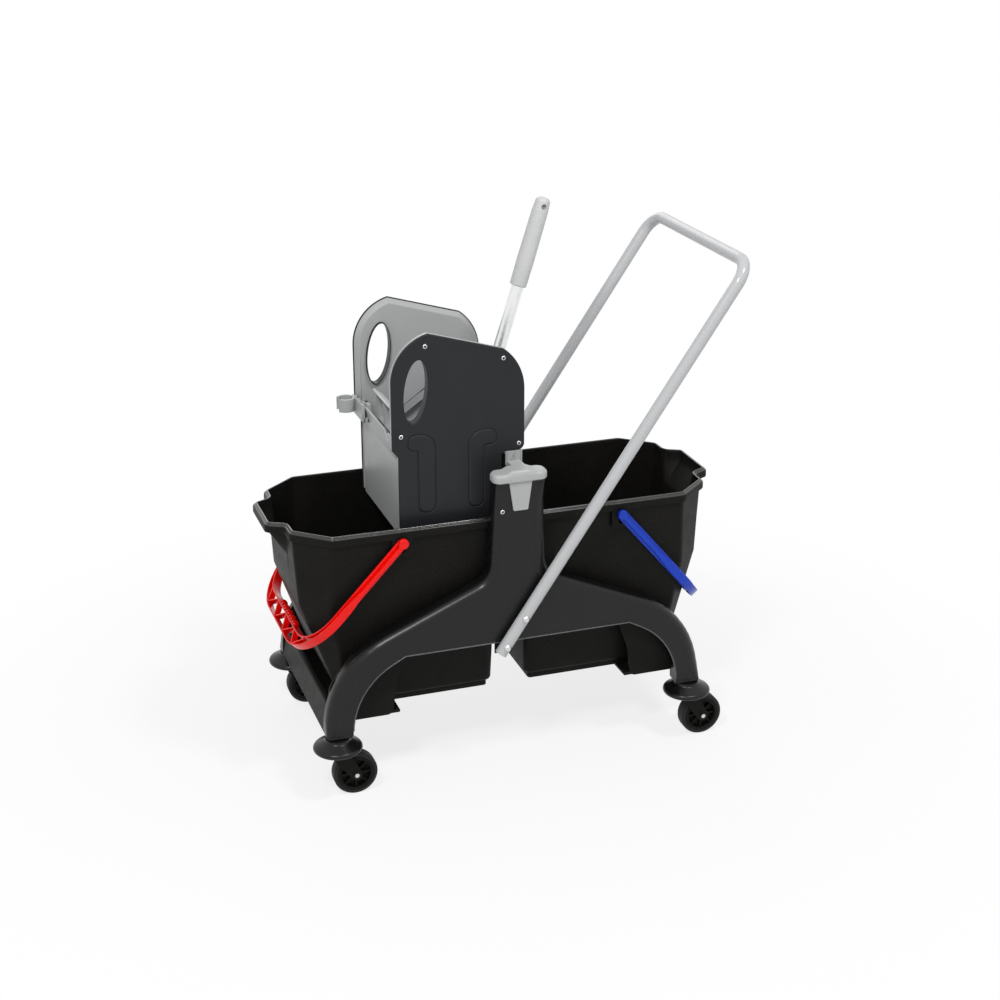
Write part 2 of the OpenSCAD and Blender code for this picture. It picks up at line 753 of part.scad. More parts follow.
module front_wall() {
    slope = unit(lip_top - [front_x, lip_foot_z]);
    side = [slope.y, -slope.x] * wall_t;
    profile = [
        [front_x, wringer_z, 0], [front_in, wringer_z, 0], [front_in, lip_foot_z, 14],
        [lip_top.x + side.x, lip_top.y + side.y, 1], [lip_top.x, lip_top.y, 1], [front_x, lip_foot_z, 14]
    ];
    color(mid_grey) difference() {
        xz(-liner_in, liner_in) polygon(rounded(profile));
        translate([lip_top.x - 20, notch.x, lip_top.y + 1]) rotate([90, 0, 90]) linear_extrude(60)
            polygon([[-notch[1] / 2 - 1, 1], [-3, -notch[2]], [3, -notch[2]], [notch[1] / 2 + 1, 1]]);
    }
}
module rear_wall() {
    color(mid_grey) xz(-liner_in, liner_in)
        polygon(rounded(block(rear_in, wringer_z, rear_out, rear_wall_z, 1)));
}
module sieve_floor() {
    length = rear_in - front_in;
    across = floor((length - sieve_pitch) / sieve_pitch);
    deep = floor((2 * liner_in - sieve_pitch) / sieve_pitch);
    color(mid_grey) difference() {
        translate([front_in, -liner_in, wringer_z]) cube([length, 2 * liner_in, sieve_t]);
        translate([front_in + length / 2, 0, wringer_z - 1]) for (i = [0:across], j = [0:deep])
            translate([(i - across / 2) * sieve_pitch, (j - deep / 2) * sieve_pitch, 0])
                cylinder(d = sieve_hole_d, h = sieve_t + 2);
    }
}
module mop_clip() {
    color(mid_grey) difference() {
        union() {
            translate([clip_at.x, clip_at.y, clip_z]) cylinder(r = clip_r + clip_wall, h = clip_h);
            translate([clip_at.x, liner_in + run_gap, clip_z])
                cube([panel_left + liner_edge - clip_at.x, liner_t - 2 * run_gap, clip_h]);
        }
        translate([clip_at.x, clip_at.y, clip_z - 1]) cylinder(r = clip_r, h = clip_h + 2);
        translate([clip_at.x - clip_d, clip_at.y - clip_mouth / 2, clip_z - 1])
            cube([clip_d, clip_mouth, clip_h + 2]);
    }
}
module hanger_bracket() {
    x0 = bracket_x[0];
    x1 = bracket_x[1];
    plate_z = panel_low - 6;
    drop = 22;
    rib_z = plate_z - drop;
    color(light_grey) {
        translate([x0, -panel_out, plate_z]) cube([x1 - x0, 2 * panel_out, 6]);
        translate([rear_out, -bracket_in, plate_z]) cube([x0 - rear_out + 1, 2 * bracket_in, 6]);
        both_sides() {
            translate([x0 + 2, -foot_out, seat_z]) cube([20, foot_out - panel_out + 8, 5]);
            for (x = [x0 + 4, x1 - 7]) translate([x, -panel_out, rib_z]) cube([3, 28, drop + 1]);
            xz(-panel_out + 12, -panel_out + 15) polygon([
                [x0 + 6, rib_z], [x0 + 10, rib_z], [x1 - 5, plate_z + 1], [x1 - 9, plate_z + 1]
            ]);
        }
    }
}
module panel_screws() {
    color(silver) both_sides() for (p = panel_screw_places)
        screw(p, -panel_out, screw_d, screw_head_d, 1.8, panel_t + 6);
}
module jaw_hinge_pin() {
    color(silver) cross_bar(jaw_hinge, pin_r, -shaft_y, shaft_y);
}

// Return spring: a leg up from the bracket, the turns round the shaft, and a short end
spring_leg = shaft.y - panel_low - wire_d / 2 - 0.3;
spring_steps = spring_turns * spring_rings;
function spring_point(k) =
    let (a = 360 * k / spring_rings)
    [shaft.x + spring_r * cos(a), spring_y + spring_pitch * k / spring_rings, shaft.y + spring_r * sin(a)];
spring_path = concat(
    [[shaft.x + spring_r, spring_y, shaft.y - spring_leg], [shaft.x + spring_r, spring_y, shaft.y - wire_d]],
    [for (k = [0:spring_steps]) spring_point(k)],
    [spring_point(spring_steps) + [0, 0, wire_d]]
);
function spring_turn(i) = 360 * max(0, min(spring_steps, i - 2)) / spring_rings;
function spring_ring(i) =
    let (a = spring_turn(i), out = [cos(a), 0, sin(a)], side = [0, 1, 0])
    [for (j = [0:spring_sides - 1]) let (t = 360 * j / spring_sides)
        spring_path[i] + wire_d / 2 * (cos(t) * out + sin(t) * side)];
spring_space = min([
    for (i = [2:len(spring_path) - 2], j = [i + spring_rings / 2:1:len(spring_path) - 2])
        norm(spring_path[i] - spring_path[j])
]) - wire_d;
module return_spring() {
    n = len(spring_path);
    m = spring_sides;
    points = [for (i = [0:n - 1]) each spring_ring(i)];
    sides = [
        for (i = [0:n - 2], j = [0:m - 1])
            let (a = i * m + j, b = i * m + (j + 1) % m)
            each [[a, b, a + m], [b, b + m, a + m]]
    ];
    first = [for (j = [1:m - 2]) [0, j + 1, j]];
    last = [for (j = [1:m - 2]) let (s = (n - 1) * m) [s, s + j, s + j + 1]];
    color(silver) polyhedron(points, concat(sides, first, last));
    echo(spring_least_gap = spring_space);
}

// Lever body
module along_lever() {
    translate([shaft.x, 0, shaft.y]) rotate([0, lever_lean, 0]) children();
}
module lever_shaft() {
    color(silver) cross_bar(shaft, shaft_r, -shaft_y, shaft_y);
}
module crank(side) {
    color(silver) on_side(side) difference() {
        union() {
            cross_bar(shaft, shaft_r + 6, -crank_out, -crank_in);
            cross_bar(crank_pin, pin_r + 5, -crank_out, -crank_in);
            translate([shaft.x, 0, shaft.y]) rotate([0, -crank_angle, 0])
                translate([0, -crank_out, -pin_r - 3]) cube([crank_r, crank_t, 2 * pin_r + 6]);
            cross_bar(crank_pin, pin_r, -crank_in, -link_in + 0.5);
        }
        cross_bar(shaft, shaft_r + pin_clear, -crank_out - 1, -crank_in + 1);
    }
}
module lever_yoke() {
    color(slate) difference() {
        union() {
            cross_bar(shaft, yoke_r, -yoke_half, yoke_half);
            along_lever() cylinder(d = socket_d, h = socket_l);
        }
        cross_bar(shaft, shaft_r + pin_clear, -yoke_half - 1, yoke_half + 1);
        along_lever() translate([0, 0, tube_start]) cylinder(d = lever_d + 2 * pin_clear, h = socket_l);
    }
}
module lever_tube() {
    color(silver) along_lever() translate([0, 0, tube_start]) difference() {
        cylinder(d = lever_d, h = grip_start + grip_grip - tube_start);
        translate([0, 0, -1]) cylinder(d = lever_d - 3, h = grip_start + grip_grip - tube_start + 2);
    }
}
module lever_grip() {
    r = grip_d / 2;
    profile = [
        [0, 0, 0], [r - 0.5, 0, 2], [r, grip_l * 0.3, 0],
        [r - 1, grip_l - 24, 6], [r - 3, grip_l, 8], [0, grip_l, 0]
    ];
    color(light_grey) along_lever() translate([0, 0, grip_start]) difference() {
        rotate_extrude() polygon(rounded(profile, 5));
        translate([0, 0, -1]) cylinder(d = lever_d + 2 * pin_clear, h = grip_grip + 1);
        translate([0, 0, grip_l - 15]) rotate([90, 0, 0]) cylinder(d = 10, h = 2 * grip_d, center = true);
    }
}

// Press jaw, drawn upright on its hinge and leaned back to rest
module on_jaw() {
    translate([jaw_hinge.x, 0, jaw_hinge.y]) rotate([0, -jaw_lean, 0]) children();
}
module press_jaw() {
    flange = 14;
    color(mid_grey) difference() {
        on_jaw() {
            rotate([90, 0, 0]) cylinder(r = knuckle_r, h = 2 * jaw_half_w, center = true);
            translate([-jaw_t / 2, -jaw_half_w, 0]) cube([jaw_t, 2 * jaw_half_w, jaw_l]);
            for (k = [-4:4]) translate([-jaw_t / 2 - jaw_rib_h, k * (jaw_half_w - 1.5) / 4 - 1.5, 6])
                cube([jaw_rib_h + 1, 3, jaw_l - 6]);
            for (z = [40, 80, 120]) translate([-jaw_t / 2 - jaw_rib_h, -jaw_half_w, z])
                cube([jaw_rib_h + 1, 2 * jaw_half_w, 3]);
            xz(-jaw_half_w, jaw_half_w) polygon([
                [-jaw_t / 2, jaw_l - 4], [jaw_t / 2, jaw_l],
                [-flange, jaw_l + flange], [-flange - 3, jaw_l + flange - 3]
            ]);
        }
        cross_bar(jaw_hinge, pin_r + pin_clear, -jaw_half_w - 1, jaw_half_w + 1);
        both_sides() cross_bar(jaw_pin, pin_r + pin_clear, -jaw_half_w - 1, -jaw_half_w + 14);
    }
}
module jaw_pins() {
    color(silver) both_sides() {
        cross_bar(jaw_pin, pin_r, -link_out - 0.5, -jaw_half_w + 12);
        cross_bar(jaw_pin, pin_r + 1.5, -link_out - 1.2, -link_out - run_gap);
    }
}
module pull_link(side) {
    eye_r = pin_r + eye_play;
    color(silver) on_side(side) difference() {
        union() {
            cross_bar(jaw_pin, link_w / 2, -link_out, -link_in);
            cross_bar(crank_pin, link_w / 2 + 1, -link_out, -link_in);
            translate([jaw_pin.x, 0, jaw_pin.y]) rotate([0, -link_angle, 0])
                translate([0, -link_out, -link_w / 2 + link_waist])
                    cube([link_l, link_t, link_w - 2 * link_waist]);
        }
        cross_bar(jaw_pin, pin_r + pin_clear, -link_out - 1, -link_in + 1);
        cross_bar(crank_pin, eye_r, -link_out - 1, -link_in + 1);
    }
}

side_frame(-1);  // side_frame_near
side_frame(1);  // side_frame_far
end_cradle(-1);  // end_cradle_left
end_cradle(1);  // end_cradle_right
tower_cap(-1);  // tower_cap_near
tower_cap(1);  // tower_cap_far
push_bar();
bar_bolts();
tower_screws();
bumper(0);  // bumper_near_left
bumper(1);  // bumper_near_right
bumper(2);  // bumper_far_left
bumper(3);  // bumper_far_right
fork(0);  // fork_near_left
fork(1);  // fork_near_right
fork(2);  // fork_far_left
fork(3);  // fork_far_right
axle(0);  // axle_near_left
axle(1);  // axle_near_right
axle(2);  // axle_far_left
axle(3);  // axle_far_right
wheel(0);  // wheel_near_left
wheel(1);  // wheel_near_right
wheel(2);  // wheel_far_left
wheel(3);  // wheel_far_right
tyre(0);  // tyre_near_left
tyre(1);  // tyre_near_right
tyre(2);  // tyre_far_left
tyre(3);  // tyre_far_right
bucket(-1);  // bucket_left
bucket(1);  // bucket_right
bail(-1);  // bail_left
bail(1);  // bail_right
side_panel(-1);  // side_panel_near
side_panel(1);  // side_panel_far
liner(-1);  // liner_near
liner(1);  // liner_far
front_wall();
rear_wall();
sieve_floor();
mop_clip();
hanger_bracket();
panel_screws();
jaw_hinge_pin();
return_spring();
lever_shaft();
crank(-1);  // crank_near
crank(1);  // crank_far
lever_yoke();
lever_tube();
lever_grip();
press_jaw();
jaw_pins();
pull_link(-1);  // pull_link_near
pull_link(1);  // pull_link_far
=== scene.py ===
import json
import math

import bmesh
import bpy
from mathutils import Matrix, Vector


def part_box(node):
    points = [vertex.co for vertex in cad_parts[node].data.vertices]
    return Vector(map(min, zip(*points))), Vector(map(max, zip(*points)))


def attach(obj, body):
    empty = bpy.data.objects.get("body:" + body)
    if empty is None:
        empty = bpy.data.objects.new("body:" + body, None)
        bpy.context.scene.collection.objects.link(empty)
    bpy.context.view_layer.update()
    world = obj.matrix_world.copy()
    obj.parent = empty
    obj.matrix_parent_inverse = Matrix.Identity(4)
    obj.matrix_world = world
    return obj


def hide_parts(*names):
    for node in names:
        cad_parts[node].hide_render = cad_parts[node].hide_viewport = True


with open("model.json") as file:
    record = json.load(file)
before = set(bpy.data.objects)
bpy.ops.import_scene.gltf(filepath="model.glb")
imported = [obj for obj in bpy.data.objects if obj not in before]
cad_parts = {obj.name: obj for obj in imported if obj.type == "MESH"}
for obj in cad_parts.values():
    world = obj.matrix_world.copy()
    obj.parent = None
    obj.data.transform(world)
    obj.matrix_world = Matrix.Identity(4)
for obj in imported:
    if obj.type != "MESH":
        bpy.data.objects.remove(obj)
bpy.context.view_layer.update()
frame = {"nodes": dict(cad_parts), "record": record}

scene = bpy.context.scene
nodes = frame["nodes"]
bodies = frame["record"]["behaviour"]["bodies"]
bodyOf = {node: body for body, members in bodies.items() for node in members}
mm = 0.001  # pieces are drawn in millimetres and become metres when they are finished
mergeDist = 0.01  # mm
leastCut = 1.0  # mm that a rounded corner takes from its sides at least
halfTurned = 0.3  # how far a small rounded edge has come in at the middle of its turn
casters = ["near_left", "near_right", "far_left", "far_right"]
lever = {"shaft": (-1.6, 643.8), "lean": 17.3}  # x and z of the shaft, and degrees from upright
print("frame loaded with", len(nodes), "nodes")


def sideName(side):
    return "near" if side < 0 else "far"


def endName(end):
    return "left" if end < 0 else "right"


def boxMm(node):
    low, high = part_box(node)
    return low / mm, high / mm


def fullTurn(count):
    return [2 * math.pi * k / count for k in range(count)]


def quarterTurn(steps):
    return [math.pi / 2 * k / steps for k in range(steps + 1)]


def shareOf(value, start, end):
    return min(1, max(0, (value - start) / (end - start)))


def eased(share):
    return share * share * (3 - 2 * share)


# Outlines are lists of corners (x, y, radius), counter-clockwise
def roundedOutline(corners, steps=8, fill=1, closed=True):
    arcs = []
    last = len(corners) - 1
    for i, (x, y, radius) in enumerate(corners):
        here = Vector((x, y))
        if radius == 0 or (not closed and i in (0, last)):
            arcs.append([here])
            continue
        back = (Vector(corners[i - 1][:2]) - here).normalized()
        ahead = (Vector(corners[(i + 1) % len(corners)][:2]) - here).normalized()
        half = back.angle(ahead) / 2
        cut = max(radius / math.tan(half), leastCut)
        pull = math.sin(half)
        arc = []
        for k in range(steps + 1):
            t = k / steps
            a, b, c = (1 - t) ** 2, 2 * pull * t * (1 - t), t * t  # these weights make the arc a true circle
            arc.append(((here + back * cut) * a + here * b + (here + ahead * cut) * c) / (a + b + c))
        arcs.append(arc)
    points = []
    for i, arc in enumerate(arcs):
        points += arc
        if closed or i < last:
            start, end = arc[-1], arcs[(i + 1) % len(arcs)][0]
            points += [start.lerp(end, k / fill) for k in range(1, fill)]
    return points


# Moves an outline inwards, by one depth or by a depth for each point
def inset(points, depth):
    moved = []
    for i, here in enumerate(points):
        first = (here - points[i - 1]).normalized()
        second = (points[(i + 1) % len(points)] - here).normalized()
        a, b = Vector((-first.y, first.x)), Vector((-second.y, second.x))
        amount = depth[i] if isinstance(depth, list) else depth
        moved.append(here + (a + b) * amount / (1 + a.dot(b)))
    return moved


def withMirror(corners, axis):
    flip = [(-x, y, r) if axis == "x" else (x, -y, r) for x, y, r in reversed(corners)]
    return corners + flip


def upright(points, y):
    return [Vector((p.x, y, p.y)) for p in points]


def level(points, z):
    return [Vector((p.x, p.y, z)) for p in points]


def ringRoundY(x, y, z, radius, sides):
    return [Vector((x + radius * math.cos(a), y, z + radius * math.sin(a))) for a in fullTurn(sides)]


# Rings of a small rounded edge, from a wall onto its face; way is -1 for the edge of a hole
def edgeRings(points, face, side, edge, way=1):
    return [upright(inset(points, way * depth), side * (face - edge + rise))
            for depth, rise in ((0, 0), (edge * halfTurned, edge * (1 - halfTurned)), (edge, edge))]


# A loft draws its first ring and pulls each next one out of it; it gives back its first and last ring
def loft(bm, rings, capFirst=True, capLast=True):
    first = ring = [bm.verts.new(p) for p in rings[0]]
    for i in range(len(ring)):
        bm.edges.new((ring[i - 1], ring[i]))
    if capFirst:
        bm.faces.new(ring)
    for points in rings[1:]:
        edges = [bm.edges.get((ring[i - 1], ring[i])) for i in range(len(ring))]
        made = bmesh.ops.extrude_edge_only(bm, edges=edges)["geom"]
        fresh = {g for g in made if isinstance(g, bmesh.types.BMVert)}
        ring = [next(e.other_vert(v) for e in v.link_edges if e.other_vert(v) in fresh) for v in ring]
        for vert, point in zip(ring, points):
            vert.co = point
    if capLast:
        bm.faces.new(ring)
    return first, ring


def openLoft(bm, rings):
    return loft(bm, rings, capFirst=False, capLast=False)


# A face between loops of edges, such as a panel with a hole and raised pads
def fillBetween(bm, loops):
    edges = [bm.edges.get((loop[i - 1], loop[i])) for loop in loops for i in range(len(loop))]
    bmesh.ops.triangle_fill(bm, edges=edges, use_beauty=True)


def softenEdges(bm, edges, width, segments):
    bmesh.ops.bevel(bm, geom=edges, offset=width, offset_type="OFFSET", segments=segments,
                    profile=0.5, affect="EDGES", material=-1, clamp_overlap=True)


# The edges of some faces, or at some vertices, that turn by more than an angle
def sharpEdges(geom, angle):
    face = bmesh.types.BMFace
    found = dict.fromkeys(e for g in geom for e in (g.edges if isinstance(g, face) else g.link_edges))
    return [e for e in found if len(e.link_faces) == 2 and e.calc_face_angle() > math.radians(angle)]


# A box between two opposite corners
def addBox(bm, corner, opposite, soft=0.6):
    corner, opposite = Vector(corner), Vector(opposite)
    size = [abs(length) for length in opposite - corner]
    place = Matrix.Translation((corner + opposite) / 2) @ Matrix.Diagonal((*size, 1))
    verts = bmesh.ops.create_cube(bm, size=1, matrix=place)["verts"]
    if soft:
        softenEdges(bm, sharpEdges(verts, angle=30), soft, segments=2)


def addRod(bm, start, end, radius, soft, sides=32):
    start, end = Vector(start), Vector(end)
    turn = (end - start).to_track_quat("Z", "Y").to_matrix().to_4x4()
    place = Matrix.Translation((start + end) / 2) @ turn
    verts = bmesh.ops.create_cone(bm, cap_ends=True, segments=sides, radius1=radius, radius2=radius,
                                  depth=(end - start).length, matrix=place)["verts"]
    softenEdges(bm, sharpEdges(verts, angle=50), soft, segments=3)


def makePiece(name, bm, body, finish, replaced=(), sharp=38, copied=False):
    material, slot = finish
    if not copied:  # a copy of a CAD node is in metres and faces outwards already
        bmesh.ops.scale(bm, vec=(mm, mm, mm), verts=bm.verts)
        bmesh.ops.recalc_face_normals(bm, faces=bm.faces)
    for face in bm.faces:
        face.smooth = True
    for edge in bm.edges:
        edge.smooth = edge.calc_face_angle(0) < math.radians(sharp)
    mesh = bpy.data.meshes.new(name)
    bm.to_mesh(mesh)
    bm.free()
    mesh.materials.append(material)
    piece = bpy.data.objects.new(name, mesh)
    scene.collection.objects.link(piece)
    weigh = piece.modifiers.new("flatFaces", "WEIGHTED_NORMAL")  # keeps broad faces flat beside round edges
    weigh.keep_sharp = True
    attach(piece, body)
    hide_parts(*replaced)


# A copy of a rigid CAD node with its corners softened
def softCopy(node, finish, width, segments=2, angle=32, flat=0.5):
    bm = bmesh.new()
    bm.from_mesh(nodes[node].data)
    bmesh.ops.remove_doubles(bm, verts=bm.verts, dist=mergeDist * mm)
    bmesh.ops.dissolve_limit(bm, angle_limit=math.radians(flat), verts=bm.verts, edges=bm.edges)
    softenEdges(bm, sharpEdges(bm.faces, angle), width * mm, segments)
    makePiece(node + "_finished", bm, bodyOf[node], finish, [node], copied=True)


# Materials
def addNode(tree, kind, inputs=None, **settings):
    node = tree.nodes.new(kind)
    for key, value in settings.items():
        setattr(node, key, value)
    for key, value in (inputs or {}).items():
        if isinstance(value, bpy.types.NodeSocket):
            tree.links.new(value, node.inputs[key])
        else:
            node.inputs[key].default_value = value
    return node


def newMaterial(name):
    material = bpy.data.materials.new(name)
    material.use_nodes = True
    tree = material.node_tree
    shader = tree.nodes["Principled BSDF"]
    place = addNode(tree, "ShaderNodeTexCoord").outputs["Object"]
    return material, tree, shader, place


def noise(tree, place, **settings):
    return addNode(tree, "ShaderNodeTexNoise", {"Vector": place, **settings}).outputs["Fac"]


# Maps a span of values to another one
def mapped(tree, value, span, low, high):
    inputs = {"Value": value, "From Min": span[0], "From Max": span[1], "To Min": low, "To Max": high}
    return addNode(tree, "ShaderNodeMapRange", inputs).outputs["Result"]


def toneRamp(tree, factor, span, dark, light):
    ramp = addNode(tree, "ShaderNodeValToRGB", {"Fac": factor})
    for stop, position, colour in zip(ramp.color_ramp.elements, span, (dark, light)):
        stop.position = position
        stop.color = (*colour, 1)
    return ramp.outputs["Color"]


def shade(colour, amount):
    return tuple(c * amount for c in colour)


def addRelief(tree, shader, height, strength, depth):
    bump = addNode(tree, "ShaderNodeBump", {"Height": height, "Strength": strength, "Distance": depth})
    tree.links.new(bump.outputs["Normal"], shader.inputs["Normal"])


# Moulded plastic: a faint cloudy tone, a fine spark-eroded grain and a gloss that varies with handling
mould = {
    "cloud": {"Scale": 14, "Detail": 4, "Roughness": 0.6},
    "fleck": {"Scale": 420, "Detail": 3, "Roughness": 0.7},
    "smear": {"Scale": 45, "Detail": 5, "Distortion": 0.6},
    "usualSpan": (0.3, 0.7), "fleckSpan": (0.35, 0.65), "grainDetail": 2, "grainDepth": 0.0002,
}


def mouldedPlastic(name, look):
    material, tree, shader, place = newMaterial(name)
    dark, light = shade(look["colour"], 1 - look["mottle"]), shade(look["colour"], 1 + look["mottle"])
    tone = toneRamp(tree, noise(tree, place, **mould["cloud"]), mould["usualSpan"], dark, light)
    fleck = noise(tree, place, **mould["fleck"])
    depth = look.get("fleck", 0)
    spots = mapped(tree, fleck, mould["fleckSpan"], 1 - depth, 1 + depth)
    tinted = addNode(tree, "ShaderNodeVectorMath", {0: tone, "Scale": spots}, operation="SCALE")
    tree.links.new(tinted.outputs["Vector"], shader.inputs["Base Color"])
    smear = noise(tree, place, **mould["smear"])
    low, high = look["rough"] - look["smear"], look["rough"] + look["smear"]
    tree.links.new(mapped(tree, smear, mould["usualSpan"], low, high), shader.inputs["Roughness"])
    grain = noise(tree, place, Scale=look["grain"], Detail=mould["grainDetail"])
    addRelief(tree, shader, grain, look["relief"], mould["grainDepth"])
    shader.inputs["Specular IOR Level"].default_value = look["specular"]
    if "rim" in look:
        glossyRim(tree, shader, place, look)
    return material


# A rim polished by handling: above its height the plastic is smoother and shines more
def glossyRim(tree, shader, place, look, blend=0.001):
    height, rough, specular = look["rim"]
    up = addNode(tree, "ShaderNodeSeparateXYZ", {"Vector": place}).outputs["Z"]
    share = mapped(tree, up, (height - blend, height + blend), 0, 1)
    plain = shader.inputs["Roughness"].links[0].from_socket
    tree.links.new(mapped(tree, share, (0, 1), plain, rough), shader.inputs["Roughness"])
    shine = mapped(tree, share, (0, 1), look["specular"], specular)
    tree.links.new(shine, shader.inputs["Specular IOR Level"])


# Bright metal: drawn lines along one axis over a soft cloud of tarnish
drawn = {
    "lines": {"Scale": 900, "Detail": 3}, "lineSpan": (0.3, 0.7), "gloss": (-0.06, 0.08), "relief": 0.01,
    "lineDepth": 0.0002, "cloud": {"Scale": 30, "Detail": 4}, "cloudSpan": (0.35, 0.7), "tarnish": 0.9,
}


def brightMetal(name, look):
    material, tree, shader, place = newMaterial(name)
    turned = addNode(tree, "ShaderNodeMapping", {
        "Vector": place, "Rotation": (0, math.radians(look["lean"]), 0), "Scale": look["stretch"]})
    lines = noise(tree, turned.outputs["Vector"], **drawn["lines"])
    cloud = noise(tree, place, **drawn["cloud"])
    tone = toneRamp(tree, cloud, drawn["cloudSpan"], shade(look["colour"], drawn["tarnish"]), look["colour"])
    tree.links.new(tone, shader.inputs["Base Color"])
    low, high = drawn["gloss"]
    gloss = mapped(tree, lines, drawn["lineSpan"], look["rough"] + low, look["rough"] + high)
    tree.links.new(gloss, shader.inputs["Roughness"])
    addRelief(tree, shader, lines, drawn["relief"], drawn["lineDepth"])
    shader.inputs["Metallic"].default_value = 1
    return material


# Each finish is a material and the slot that it goes by
slate = mouldedPlastic("slatePlastic", {
    "colour": (0.004, 0.0042, 0.0046), "mottle": 0.1, "fleck": 0.25, "rough": 0.29, "smear": 0.02,
    "grain": 1500, "relief": 0.02, "specular": 0.33}), "slate_plastic"
# painted highlight: the arch lip is coloured light grey, far lighter than the slate frame, to stand for the
# light line along the arches
highlightLipSlate = mouldedPlastic("paintedHighlightLipPlastic", {
    "colour": (0.09, 0.092, 0.096), "mottle": 0.1, "rough": 0.3, "smear": 0.03,
    "grain": 1500, "relief": 0.03, "specular": 0.4}), "slate_plastic"
panelSlate = mouldedPlastic("panelPlastic", {
    "colour": (0.019, 0.0198, 0.0225), "mottle": 0.06, "rough": 0.42, "smear": 0.03,
    "grain": 1500, "relief": 0.04, "specular": 0.2}), "slate_plastic"
black = mouldedPlastic("blackPlastic", {
    "colour": (0.0075, 0.007, 0.0062), "mottle": 0.12, "fleck": 0.5, "rough": 0.5, "smear": 0.04,
    "grain": 1200, "relief": 0.02, "specular": 0.1, "rim": (0.4755, 0.22, 0.75)}), "black_plastic"
greyFeel = {"mottle": 0.03, "rough": 0.42, "smear": 0.04, "grain": 1400, "relief": 0.04, "specular": 0.4}
midGrey = mouldedPlastic("midGreyPlastic", {
    **greyFeel, "colour": (0.4, 0.41, 0.412), "specular": 0.35}), "mid_grey_plastic"
# painted light: a lighter copy of the mid grey, so that the jaw looks lit where it sits in the panels' shade
jawLitGrey = mouldedPlastic("jawPaintedLightPlastic", {
    **greyFeel, "colour": (0.55, 0.56, 0.56), "rough": 0.4}), "mid_grey_plastic"
lightGrey = mouldedPlastic("lightGreyPlastic", {
    **greyFeel, "colour": (0.42, 0.43, 0.43), "rough": 0.38}), "light_grey_plastic"
gripGrey = mouldedPlastic("gripPlastic", {
    **greyFeel, "colour": (0.56, 0.565, 0.565)}), "light_grey_plastic"
paint = mouldedPlastic("paintedTube", {
    "colour": (0.5, 0.507, 0.515), "mottle": 0.02, "rough": 0.2, "smear": 0.02,
    "grain": 300, "relief": 0, "specular": 0.55}), "painted_tube"
bailFeel = {"mottle": 0.04, "rough": 0.24, "smear": 0.03, "grain": 700, "relief": 0.01, "specular": 0.28}
red = mouldedPlastic("redPlastic", {**bailFeel, "colour": (0.86, 0.003, 0.001)}), "red_plastic"
blue = mouldedPlastic("bluePlastic", {**bailFeel, "colour": (0.003, 0.045, 0.5)}), "blue_plastic"
rubber = mouldedPlastic("tyreRubber", {
    "colour": (0.016, 0.016, 0.0165), "mottle": 0.25, "rough": 0.6, "smear": 0.08,
    "grain": 900, "relief": 0.15, "specular": 0.2}), "tyre_rubber"
zinc = mouldedPlastic("satinZinc", {
    "colour": (0.36, 0.365, 0.37), "mottle": 0.05, "rough": 0.4, "smear": 0.06,
    "grain": 900, "relief": 0.02, "specular": 0.6}), "bright_steel"
aluminium = brightMetal("brightAluminium", {
    "colour": (0.88, 0.885, 0.89), "rough": 0.34, "lean": -lever["lean"],
    "stretch": (1, 1, 0.04)}), "bright_aluminium"
steel = brightMetal("brightSteel", {
    "colour": (0.7, 0.7, 0.71), "rough": 0.3, "lean": 0, "stretch": (1, 0.1, 1)}), "bright_steel"
print("materials ready")
